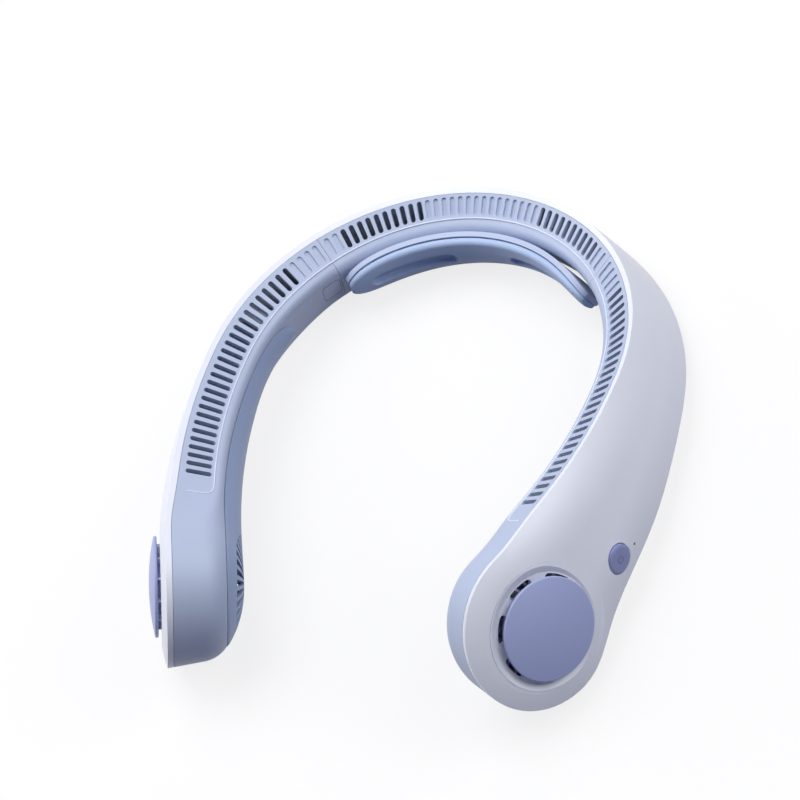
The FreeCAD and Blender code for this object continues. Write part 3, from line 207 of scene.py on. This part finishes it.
class StudioSettings(PropertyGroup):
    """Floor, lamps and camera."""

    floor: tint("Floor", "Colour of the floor", (0.94, 0.94, 0.96))
    bounce: tint("Bounce", "Colour that the floor throws back on the fan", (0.10, 0.108, 0.19))
    floor_size: length("Floor size", "Half length of the floor", 6.0)
    lens: number("Lens", "Focal length of the camera in millimetres", 157.5, least=1.0)
    place: vector("Camera", "Place of the camera", "TRANSLATION",
                  (0.5773, -0.520581, 1.045903), unit="LENGTH")
    look: vector("Look", "Direction of view", "DIRECTION", (-0.4541, 0.410621, -0.790695))
    upright: vector("Upright", "Upward direction of the picture", "DIRECTION",
                    (-0.0676, 0.869001, 0.490148))
    ambient: number("Ambient", "Strength of the light from all round", 0.115)
    key: power("Key", "Power of the lamp above", 12.5)
    right: power("Right", "Power of the right lamp", 7.0)
    left: power("Left", "Power of the left lamp", 6.0)


# Node materials

class Field:
    """A value that changes over a surface. Arithmetic on it adds the Math nodes."""

    def __init__(self, finish, socket):
        self.finish = finish
        self.socket = socket

    def math(self, operation, first, second):
        """One Math node."""
        return self.finish.node("ShaderNodeMath", {"operation": operation}, {0: first, 1: second})

    def __add__(self, other):
        return self.math("ADD", self, other)

    def __radd__(self, other):
        return self.math("ADD", other, self)

    def __sub__(self, other):
        return self.math("SUBTRACT", self, other)

    def __rsub__(self, other):
        return self.math("SUBTRACT", other, self)

    def __mul__(self, other):
        return self.math("MULTIPLY", self, other)

    def __rmul__(self, other):
        return self.math("MULTIPLY", other, self)

    def __gt__(self, other):
        return self.math("GREATER_THAN", self, other)


class Finish:
    """The nodes of a material or of the surroundings."""

    def __init__(self, owner):
        self.owner = owner
        owner.use_nodes = True
        self.tree = owner.node_tree
        self.tree.nodes.clear()

    @classmethod
    def named(cls, name):
        """A new material of that name."""
        return cls(bpy.data.materials.new(name))

    def node(self, kind, settings=None, inputs=None, output=0):
        """A node with its settings, then the values or links of its sockets."""
        made = self.tree.nodes.new(kind)
        for key, value in (settings or {}).items():
            if key == "stops":
                self.set_stops(made.color_ramp, value)
            else:
                setattr(made, key, value)
        for key, value in (inputs or {}).items():
            if isinstance(value, Field):
                self.tree.links.new(value.socket, made.inputs[key])
            else:
                made.inputs[key].default_value = value
        return Field(self, made.outputs[output]) if made.outputs else None

    @staticmethod
    def set_stops(ramp, stops):
        """Places and grey levels of a colour ramp."""
        while len(ramp.elements) < len(stops):
            ramp.elements.new(1.0)
        for element, (place, level) in zip(ramp.elements, stops):
            element.position = place
            element.color = (level, level, level, 1.0)

    def spot(self, turn=(0.0, 0.0, 0.0), stretch=(1.0, 1.0, 1.0)):
        """Place on the piece, turned and stretched for a pattern with a direction."""
        place = self.node("ShaderNodeTexCoord", output="Object")
        return self.node("ShaderNodeMapping", {},
                         {"Vector": place, "Rotation": turn, "Scale": stretch})

    def noise(self, size, detail=2.0, spot=None):
        """Soft noise whose patches are about that size, in metres."""
        return self.node("ShaderNodeTexNoise", {},
                         {"Vector": spot or self.spot(), "Scale": 1.0 / size,
                          "Detail": detail, "Roughness": 0.55})

    def cells(self, size):
        """Distance from the middle of small cells of about that size, in metres."""
        return self.node("ShaderNodeTexVoronoi", {}, {"Vector": self.spot(), "Scale": 1.0 / size})

    def bands(self, pitch, spot, direction="Z"):
        """Fine ridges across one direction, at that pitch in metres."""
        return self.node("ShaderNodeTexWave", {"bands_direction": direction},
                         {"Vector": spot, "Scale": WAVE_PITCH / pitch,
                          "Distortion": 0.15, "Detail": 1.0})

    def ramp(self, field, stops):
        """A field redrawn through grey levels."""
        return self.node("ShaderNodeValToRGB", {"stops": stops}, {"Fac": field})

    def blend(self, share, first, second):
        """A colour between two."""
        return self.node("ShaderNodeMix", {"data_type": "RGBA"}, {0: share, 6: first, 7: second}, 2)

    def mottled(self, colour, share, dark, light):
        """A colour that wanders between a darker and a lighter shade of itself."""
        return self.blend(share, shade(colour, dark), shade(colour, light))

    def bump(self, height, depth):
        """Relief of that depth, in metres."""
        return self.node("ShaderNodeBump", {},
                         {"Strength": 1.0, "Distance": depth, "Height": height})

    def surface(self, colour, roughness, relief, fixed=None):
        """The finished material."""
        inputs = {"Base Color": colour, "Roughness": roughness, "Normal": relief}
        inputs.update(fixed or {})
        shader = self.node("ShaderNodeBsdfPrincipled", {}, inputs)
        self.node("ShaderNodeOutputMaterial", {}, {"Surface": shader})
        return self.owner


def shade(colour, level):
    """A colour made lighter or darker."""
    return tuple(min(1.0, part * level) for part in colour) + (1.0,)


def moulded(name, colour, gloss, grain=0.3 * MM, coat=0.0):
    """Moulded plastic: fine grain from the tool, faint flow clouds and slightly uneven gloss."""
    finish = Finish.named(name)
    cloud = finish.noise(26 * MM, 3.0)
    speck = finish.noise(grain)
    colour = finish.mottled(colour, 0.65 * cloud + 0.35 * speck, 0.95, 1.05)
    rough = 0.10 * cloud + 0.10 * speck + (gloss - 0.10)
    fixed = {"Coat Weight": coat, "Coat Roughness": 0.22, "IOR": PLASTIC_IOR}
    return finish.surface(colour, rough, finish.bump(speck, 0.004 * MM), fixed)


def rubbery(name, colour):
    """Soft silicone: dry bloom, tiny pores and a faint sheen."""
    finish = Finish.named(name)
    bloom = finish.noise(9 * MM, 4.0)
    pores = finish.cells(0.45 * MM)
    colour = finish.mottled(colour, 0.7 * bloom + 0.3 * pores, 0.94, 1.06)
    rough = 0.16 * bloom + 0.50
    fixed = {"Sheen Weight": 0.12, "Sheen Roughness": 0.5, "IOR": SILICONE_IOR}
    return finish.surface(colour, rough, finish.bump(pores, 0.006 * MM), fixed)


def metal(name, colour, rough, stretch=(1.0, 1.0, 18.0)):
    """Drawn or turned metal with fine lines along one direction."""
    finish = Finish.named(name)
    lines = finish.noise(0.5 * MM, 4.0, finish.spot(stretch=stretch))
    stain = finish.noise(3 * MM, 3.0)
    colour = finish.mottled(colour, 0.5 * lines + 0.5 * stain, 0.8, 1.15)
    rough = 0.16 * lines + 0.12 * stain + (rough - 0.14)
    return finish.surface(colour, rough, finish.bump(lines, 0.003 * MM), {"Metallic": 1.0})


def windings(name, colour):
    """Enamelled wire laid turn by turn."""
    finish = Finish.named(name)
    turns = finish.bands(0.24 * MM, finish.spot(turn=(0.4, 0.3, 0.2)))
    stain = finish.noise(1.5 * MM)
    colour = finish.mottled(colour, 0.6 * turns + 0.4 * stain, 0.55, 1.2)
    rough = 0.2 * stain + 0.22
    return finish.surface(colour, rough, finish.bump(turns, 0.05 * MM), {"Metallic": 0.85})


def laminated(name, colour):
    """Stacked steel sheets, seen as thin layers."""
    finish = Finish.named(name)
    layers = finish.bands(0.35 * MM, finish.spot(turn=(0.0, 1.0, 0.37)), "X")
    stain = finish.noise(2 * MM)
    colour = finish.mottled(colour, 0.6 * layers + 0.4 * stain, 0.6, 1.1)
    rough = 0.2 * stain + 0.34
    return finish.surface(colour, rough, finish.bump(layers, 0.02 * MM), {"Metallic": 0.9})


def sintered(name, colour, metallic):
    """Pressed powder: open grain and dull specks."""
    finish = Finish.named(name)
    grain = finish.cells(0.18 * MM)
    stain = finish.noise(2.5 * MM)
    colour = finish.mottled(colour, 0.6 * grain + 0.4 * stain, 0.6, 1.2)
    rough = 0.2 * grain + 0.42
    return finish.surface(colour, rough, finish.bump(grain, 0.01 * MM), {"Metallic": metallic})


def circuit(name, colour):
    """Solder mask over copper tracks, with tinned spots."""
    finish = Finish.named(name)
    waves = finish.bands(1.1 * MM, finish.spot(turn=(0.2, 0.1, 0.6)), "X")
    tracks = finish.ramp(waves, ((0.55, 0.0), (0.62, 1.0)))
    pads = finish.cells(2.3 * MM)
    tinned = 1.0 - (pads > 0.16)
    mask = finish.mottled(colour, tracks, 0.75, 1.5)
    colour = finish.blend(tinned, mask, TIN)
    rough = 0.12 * finish.noise(1.2 * MM) + 0.28
    relief = finish.bump(0.5 * tracks + 0.5 * tinned, 0.03 * MM)
    return finish.surface(colour, rough, relief, {"Coat Weight": 0.3})


def foil(name, colour):
    """Crinkled foil pouch of a battery cell."""
    finish = Finish.named(name)
    folds = finish.noise(5 * MM, 5.0)
    grain = finish.noise(0.4 * MM)
    colour = finish.mottled(colour, 0.7 * folds + 0.3 * grain, 0.82, 1.12)
    rough = 0.2 * folds + 0.3
    return finish.surface(colour, rough, finish.bump(folds, 0.25 * MM), {"Metallic": 0.35})


def smoked(name, colour):
    """Dark clear plastic of the small light."""
    finish = Finish.named(name)
    haze = finish.noise(0.3 * MM)
    colour = finish.mottled(colour, haze, 0.7, 1.3)
    rough = 0.08 * haze + 0.10
    fixed = {"Coat Weight": 0.6, "Coat Roughness": 0.08}
    return finish.surface(colour, rough, finish.bump(haze, 0.002 * MM), fixed)


def dress(node, material):
    """Give a CAD node its finish."""
    slots = NODES[node].data.materials
    slots.clear()
    slots.append(material)


def dress_both(stem, material):
    """Give the same finish to a piece of each side."""
    for side in SIDES:
        dress(stem + "_" + side, material)


# Mesh helpers

def settle(piece, body, material):
    """Let a finished piece ride on its body with its finish."""
    piece.data.materials.clear()
    piece.data.materials.append(material)
    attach(piece, body)


def linked(name, data):
    """New object in the scene."""
    piece = bpy.data.objects.new(name, data)
    bpy.context.scene.collection.objects.link(piece)
    return piece


def evaluated_mesh(piece):
    """Mesh of an object with its modifiers applied."""
    graph = bpy.context.evaluated_depsgraph_get()
    return bpy.data.meshes.new_from_object(piece.evaluated_get(graph))


def smooth_shaded(mesh):
    """Round shading on every face."""
    mesh.polygons.foreach_set("use_smooth", [True] * len(mesh.polygons))


def even_shading(piece):
    """Smooth the shading where a crowned face closes at its middle."""
    joined = piece.modifiers.new("joined", "WELD")
    joined.merge_threshold = DISC_WELD
    piece.modifiers.new("even", "WEIGHTED_NORMAL").keep_sharp = True


def surface_of(names):
    """Search tree of some CAD nodes' surfaces, which a ray also meets on an edge."""
    joined = bmesh.new()
    for name in names:
        joined.from_mesh(NODES[name].data)
    tree = BVHTree.FromBMesh(joined, epsilon=WELD)
    joined.free()
    return tree


def tube(name, points, radius, closed=False):
    """Thin round bead along points, as a mesh."""
    line = bpy.data.curves.new(name, "CURVE")
    line.dimensions = "3D"
    line.bevel_depth = radius
    line.bevel_resolution = 2
    line.use_fill_caps = not closed
    spline = line.splines.new("NURBS")
    spline.points.add(len(points) - 1)
    for place, point in zip(spline.points, points):
        place.co = (*point, 1.0)
    spline.order_u = 3
    spline.use_endpoint_u = not closed
    spline.use_cyclic_u = closed
    spline.resolution_u = 2 if closed else 8
    source = linked(name + "_line", line)
    mesh = evaluated_mesh(source)
    bpy.data.objects.remove(source)
    smooth_shaded(mesh)
    return linked(name, mesh)


# Pieces

class NECKFAN_OT_shells(Operator):
    """Finish the shells, arm covers and intake discs"""

    bl_idname = "neckfan.shells"
    bl_label = "Shells and discs"

    def execute(self, context):
        colours = context.scene.neck_fan_colours
        dress("outer_shell", moulded("satin_white", colours.white, 0.38, coat=0.12))
        blue = moulded("pale_blue", colours.blue, 0.46)
        for node in ("inner_shell_right", "inner_shell_left", "inner_shell_rear"):
            dress(node, blue)
        # The covers get a darker blue than the inner shell: painted shade.
        dress_both("arm_cover", moulded("cover_blue", colours.cover, 0.48))
        dress_both("intake_disc", moulded("disc_blue", colours.disc, 0.44, grain=0.22 * MM))
        for side in SIDES:
            even_shading(NODES["intake_disc_" + side])
        dress("screw_caps", moulded("cap_blue", colours.blue, 0.46))
        dress("pad_plate", moulded("pad_frame_blue", colours.pad_frame, 0.44))
        dress("pad_bracket", moulded("bracket_blue", colours.pad_frame, 0.5))
        return {"FINISHED"}


class NECKFAN_OT_controls(Operator):
    """Finish the button, light, board, switch and socket"""

    bl_idname = "neckfan.controls"
    bl_label = "Controls"

    def execute(self, context):
        colours = context.scene.neck_fan_colours
        dress("power_button", moulded("button_blue", colours.button, 0.42, grain=0.2 * MM))
        dress("status_lens", smoked("smoked_lens", SMOKE))
        dress("control_board", circuit("solder_mask", SOLDER_MASK))
        dress("power_switch", moulded("black_plastic", BLACK_PLASTIC, 0.5))
        dress("charge_socket", metal("drawn_steel", DRAWN_STEEL, 0.34))
        return {"FINISHED"}


class NECKFAN_OT_works(Operator):
    """Finish the blowers, batteries, ducts and fasteners"""

    bl_idname = "neckfan.works"
    bl_label = "Works inside"

    def execute(self, context):
        natural = moulded("natural_plastic", NATURAL_PLASTIC, 0.55)
        steel = metal("plated_steel", PLATED_STEEL, 0.30)
        # The ducts' dark blue is painted shade seen through the slots.
        dress_both("duct_floor", moulded("duct_blue", DUCT_PAINTED_SHADE, 0.5))
        dress_both("motor_base", natural)
        dress_both("motor_bush", sintered("sintered_bronze", BRONZE, 0.9))
        dress_both("motor_stator", laminated("laminated_steel", SHEET_STEEL))
        dress_both("motor_coils", windings("copper_wire", COPPER))
        dress_both("motor_shaft", steel)
        dress_both("rotor_cup", metal("turned_steel", TURNED_STEEL, 0.36, (6.0, 6.0, 1.0)))
        dress_both("rotor_magnet", sintered("bonded_ferrite", FERRITE, 0.2))
        # The impellers' light blue is painted light inside the shaded arcs.
        dress_both("impeller", moulded("impeller_blue", IMPELLER_PAINTED_LIGHT, 0.42))
        dress_both("battery", foil("silver_pouch", POUCH_SILVER))
        dress("battery_lead", rubbery("black_sheath", BLACK_SHEATH))
        dress("arm_screws", steel)
        dress("rear_screws", steel)
        return {"FINISHED"}


class NECKFAN_OT_neck_pad(Operator):
    """Swell the soft neck pad on its plate"""

    bl_idname = "neckfan.neck_pad"
    bl_label = "Neck pad"

    def execute(self, context):
        settings = context.scene.neck_fan_pad
        pad = self.remeshed(settings)
        self.swell(context, pad, settings)
        smooth_shaded(pad.data)
        silicone = rubbery("soft_silicone", context.scene.neck_fan_colours.pad)
        settle(pad, "band", silicone)
        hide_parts("pad_cushion")
        return {"FINISHED"}

    @staticmethod
    def remeshed(settings):
        """The pad's solid as one even, closed skin."""
        solid = bmesh.new()
        solid.from_mesh(NODES["pad_cushion"].data)
        bmesh.ops.remove_doubles(solid, verts=solid.verts, dist=WELD)
        mesh = bpy.data.meshes.new("neck_pad_solid")
        solid.to_mesh(mesh)
        solid.free()
        source = linked("neck_pad_solid", mesh)
        skin = source.modifiers.new("skin", "REMESH")
        skin.mode = "VOXEL"
        skin.voxel_size = settings.voxel
        made = evaluated_mesh(source)
        bpy.data.objects.remove(source)
        even = bmesh.new()
        even.from_mesh(made)
        bmesh.ops.smooth_vert(even, verts=even.verts, factor=settings.smoothing,
                              use_axis_x=True, use_axis_y=True, use_axis_z=True)
        even.to_mesh(made)
        even.free()
        return linked("neck_pad", made)

    @staticmethod
    def swell(context, pad, settings):
        """Press the skin outwards with cloth simulation, held back towards the plate."""
        cloth = pad.modifiers.new("swelling", "CLOTH")
        cloth.settings.use_pressure = True
        cloth.settings.uniform_pressure_force = settings.pressure
        cloth.settings.effector_weights.gravity = 0.0
        cloth.point_cache.frame_end = settings.frames
        for step in range(1, settings.frames + 1):
            context.scene.frame_set(step)
        grown = evaluated_mesh(pad)
        for vertex, moved in zip(pad.data.vertices, grown.vertices):
            shift = moved.co - vertex.co
            outward = Vector((vertex.co.x, vertex.co.y, 0.0)).normalized()
            shift -= outward * max(shift.dot(outward), 0.0)
            if shift.length > settings.travel:
                shift *= settings.travel / shift.length
            vertex.co += shift
        pad.modifiers.remove(cloth)
        bpy.data.meshes.remove(grown)
        context.scene.frame_set(1)


class NECKFAN_OT_panel_line(Operator):
    """Draw the fine bead round the slotted panel, pale as a painted highlight of its lit edge"""

    bl_idname = "neckfan.panel_line"
    bl_label = "Slotted panel's edge"

    def execute(self, context):
        skin = surface_of(("inner_shell_right", "inner_shell_left", "inner_shell_rear"))
        right = self.plan()
        left = [(-across, along) for across, along in reversed(right[:-1])]
        seated = [skin.ray_cast(Vector((*point, DROP_HEIGHT)), DOWN)[0] for point in right + left]
        bead = tube("panel_edge", seated, context.scene.neck_fan_trim.panel_line)
        # Pale blue is a painted highlight along the panel's edge.
        pale = moulded("panel_edge_blue", context.scene.neck_fan_colours.bead, 0.4)
        settle(bead, "band", pale)
        return {"FINISHED"}

    @staticmethod
    def plan():
        """Points of the right half in plan, from the front to the middle of the back."""
        points = list(PANEL_FRONT)
        for centre, radius, first, last, steps in PANEL_ARCS:
            for step in range(steps + 1):
                angle = radians(first + (last - first) * step / steps)
                points.append((centre[0] + radius * cos(angle), centre[1] + radius * sin(angle)))
        return points


class NECKFAN_OT_cap_lines(Operator):
    """Draw the fine line round each screw cap"""

    bl_idname = "neckfan.cap_lines"
    bl_label = "Lines round the screw caps"

    def execute(self, context):
        dark = moulded("cap_line_blue", context.scene.neck_fan_colours.joint, 0.5)
        radius = context.scene.neck_fan_trim.cap_line
        for side, hand in zip(SIDES, (1.0, -1.0)):
            line = tube("cap_line_" + side, self.rim(hand), radius, closed=True)
            settle(line, "band", dark)
        return {"FINISHED"}

    @staticmethod
    def rim(hand):
        """Corners of one cap's flat face, in order round it."""
        mesh = NODES["screw_caps"].data
        own = [face for face in mesh.polygons if face.center.x * hand > 0.0]
        inward = [face for face in own if face.normal.xy.dot(face.center.xy) < 0.0]
        outward = max(inward, key=lambda face: face.area).normal.copy()
        points = [mesh.vertices[index].co for face in own for index in face.vertices]
        top = max(point.dot(outward) for point in points)
        flat = {tuple(point) for point in points if point.dot(outward) > top - FLAT}
        middle = sum((Vector(point) for point in flat), Vector()) / len(flat)
        across = outward.orthogonal().normalized()
        along = outward.cross(across)

        def turn(point):
            away = point - middle
            return atan2(away.dot(along), away.dot(across))

        return sorted((Vector(point) for point in flat), key=turn)


class NECKFAN_OT_power_mark(Operator):
    """Set the ring and bar of the power mark on the button"""

    bl_idname = "neckfan.power_mark"
    bl_label = "Power mark"

    def execute(self, context):
        settings = context.scene.neck_fan_trim
        outward = -Vector(PRESS["axis"]).normalized()
        button = NODES["power_button"].data
        middle = sum((vertex.co for vertex in button.vertices), Vector()) / len(button.vertices)
        along = Vector(MARK_UP)
        along = (along - outward * along.dot(outward)).normalized()
        across = along.cross(outward)
        turned = Matrix((across, along, outward)).transposed().to_4x4()
        top = max(vertex.co.dot(outward) for vertex in button.vertices)
        turned.translation = middle + outward * (top - middle.dot(outward))
        mesh = bpy.data.meshes.new("power_mark")
        mark = self.drawn(settings.mark_radius, settings.mark_line)
        mark.transform(turned)
        mark.to_mesh(mesh)
        mark.free()
        smooth_shaded(mesh)
        piece = linked("power_mark", mesh)
        dark = moulded("mark_blue", context.scene.neck_fan_colours.mark, 0.5)
        settle(piece, "button", dark)
        return {"FINISHED"}

    @staticmethod
    def drawn(radius, line):
        """Open ring with a bar through its gap, lying flat."""
        upright = Matrix.Rotation(QUARTER_TURN, 3, "X")
        past_gap = Matrix.Rotation(QUARTER_TURN + MARK_GAP, 3, "Z")
        mark = bmesh.new()
        for kind in ("ring", "bar"):
            made = bmesh.ops.create_circle(mark, cap_ends=True, segments=MARK_SIDES, radius=line)
            verts = made["verts"]
            faces = list({face for vert in verts for face in vert.link_faces})
            bmesh.ops.rotate(mark, verts=verts, matrix=upright)
            if kind == "ring":
                bmesh.ops.translate(mark, verts=verts, vec=(radius, 0.0, 0.0))
                bmesh.ops.rotate(mark, verts=verts, matrix=past_gap)
                bmesh.ops.spin(mark, geom=faces, axis=(0.0, 0.0, 1.0), steps=MARK_STEPS,
                               angle=FULL_TURN - 2 * MARK_GAP)
            else:
                bmesh.ops.translate(mark, verts=verts, vec=(0.0, BAR_FROM * radius, 0.0))
                made = bmesh.ops.extrude_face_region(mark, geom=faces)
                tip = [item for item in made["geom"] if isinstance(item, bmesh.types.BMVert)]
                bmesh.ops.translate(mark, verts=tip, vec=(0.0, BAR_LENGTH * radius, 0.0))
        bmesh.ops.remove_doubles(mark, verts=mark.verts, dist=WELD)
        bmesh.ops.recalc_face_normals(mark, faces=mark.faces)
        return mark


# Studio

class NECKFAN_OT_studio(Operator):
    """Set up the floor, lamps, surroundings and camera"""

    bl_idname = "neckfan.studio"
    bl_label = "Studio"

    def execute(self, context):
        settings = context.scene.neck_fan_studio
        self.lay_floor(settings)
        self.set_surroundings(context.scene, settings)
        for name, place, size, setting in LAMPS:
            self.hang_lamp(name, place, size, getattr(settings, setting))
        self.place_camera(context.scene, settings)
        context.scene.view_settings.view_transform = "Standard"
        return {"FINISHED"}

    @staticmethod
    def seen(finish):
        """One where the camera, a gloss or a clear piece looks at the surface."""
        rays = [finish.node("ShaderNodeLightPath", output="Is %s Ray" % kind)
                for kind in ("Camera", "Glossy", "Transmission")]
        either = rays[0].math("MAXIMUM", rays[0], rays[1])
        return either.math("MAXIMUM", either, rays[2])

    def lay_floor(self, settings):
        """Pale paper floor that keeps the shadow."""
        sheet = bmesh.new()
        bmesh.ops.create_grid(sheet, x_segments=8, y_segments=8, size=settings.floor_size)
        mesh = bpy.data.meshes.new("studio_floor")
        sheet.to_mesh(mesh)
        sheet.free()
        floor = linked("studio_floor", mesh)
        finish = Finish.named("floor_paper")
        fibre = finish.noise(2 * MM, 3.0)
        seen = self.seen(finish)
        colour = finish.mottled(settings.floor, fibre, 0.99, 1.01)
        colour = finish.blend(seen, (*settings.bounce, 1.0), colour)
        paper = finish.node("ShaderNodeBsdfDiffuse", {}, {"Color": colour})
        light = finish.node("ShaderNodeEmission", {}, {"Color": WHITE, "Strength": 1.0})
        mixed = finish.node("ShaderNodeMixShader", {},
                            {0: FLOOR_GLOW * seen, 1: paper, 2: light})
        finish.node("ShaderNodeOutputMaterial", {}, {"Surface": mixed})
        mesh.materials.append(finish.owner)

    def set_surroundings(self, scene, settings):
        """Even soft light from all round, with a white background."""
        scene.world = bpy.data.worlds.new("soft_room")
        room = Finish(scene.world)
        soft = room.node("ShaderNodeBackground", {},
                         {"Color": ROOM_COLOUR, "Strength": settings.ambient})
        white = room.node("ShaderNodeBackground", {}, {"Color": WHITE, "Strength": 1.0})
        mixed = room.node("ShaderNodeMixShader", {}, {0: self.seen(room), 1: soft, 2: white})
        room.node("ShaderNodeOutputWorld", {}, {"Surface": mixed})

    @staticmethod
    def hang_lamp(name, place, size, watts):
        """Square soft lamp that points at the middle of the fan."""
        data = bpy.data.lights.new(name, "AREA")
        data.size = size
        data.energy = watts
        lamp = linked(name, data)
        lamp.location = place
        aim = Vector(LAMP_AIM) - lamp.location
        lamp.rotation_mode = "QUATERNION"
        lamp.rotation_quaternion = aim.to_track_quat("-Z", "Y")

    @staticmethod
    def place_camera(scene, settings):
        """Camera at the angle of the picture."""
        data = bpy.data.cameras.new("camera")
        data.lens = settings.lens
        data.sensor_width = SENSOR_WIDTH
        data.clip_start = CLIP_START
        data.clip_end = CLIP_END
        camera = linked("camera", data)
        look = Vector(settings.look).normalized()
        right = look.cross(Vector(settings.upright)).normalized()
        camera.matrix_world = Matrix.Translation(settings.place) @ Matrix(
            (right, right.cross(look), -look)).transposed().to_4x4()
        scene.camera = camera


class NECKFAN_PT_panel(Panel):
    """Steps that dress the fan"""

    bl_label = "Neck fan"
    bl_idname = "NECKFAN_PT_panel"
    bl_space_type = "VIEW_3D"
    bl_region_type = "UI"
    bl_category = "Neck fan"

    def draw(self, context):
        for name, kind in SETTINGS.items():
            box = self.layout.box()
            for item in kind.__annotations__:
                box.prop(getattr(context.scene, name), item)
        for step in STEPS:
            self.layout.operator(step.bl_idname)


SETTINGS = {
    "neck_fan_colours": FanColours,
    "neck_fan_pad": PadSettings,
    "neck_fan_trim": TrimSettings,
    "neck_fan_studio": StudioSettings,
}
STEPS = (NECKFAN_OT_shells, NECKFAN_OT_controls, NECKFAN_OT_works, NECKFAN_OT_neck_pad,
         NECKFAN_OT_panel_line, NECKFAN_OT_cap_lines, NECKFAN_OT_power_mark, NECKFAN_OT_studio)


def register():
    """Add the settings, steps and panel."""
    for kind in (*SETTINGS.values(), *STEPS, NECKFAN_PT_panel):
        bpy.utils.register_class(kind)
    for name, kind in SETTINGS.items():
        setattr(bpy.types.Scene, name, PointerProperty(type=kind))


def unregister():
    """Take the settings, steps and panel away."""
    for name in SETTINGS:
        delattr(bpy.types.Scene, name)
    for kind in reversed((*SETTINGS.values(), *STEPS, NECKFAN_PT_panel)):
        bpy.utils.unregister_class(kind)


def main():
    """Dress the fan."""
    register()
    bpy.ops.neckfan.shells()
    bpy.ops.neckfan.controls()
    bpy.ops.neckfan.works()
    bpy.ops.neckfan.neck_pad()
    bpy.ops.neckfan.panel_line()
    bpy.ops.neckfan.cap_lines()
    bpy.ops.neckfan.power_mark()
    bpy.ops.neckfan.studio()


if __name__ == "__main__":
    main()
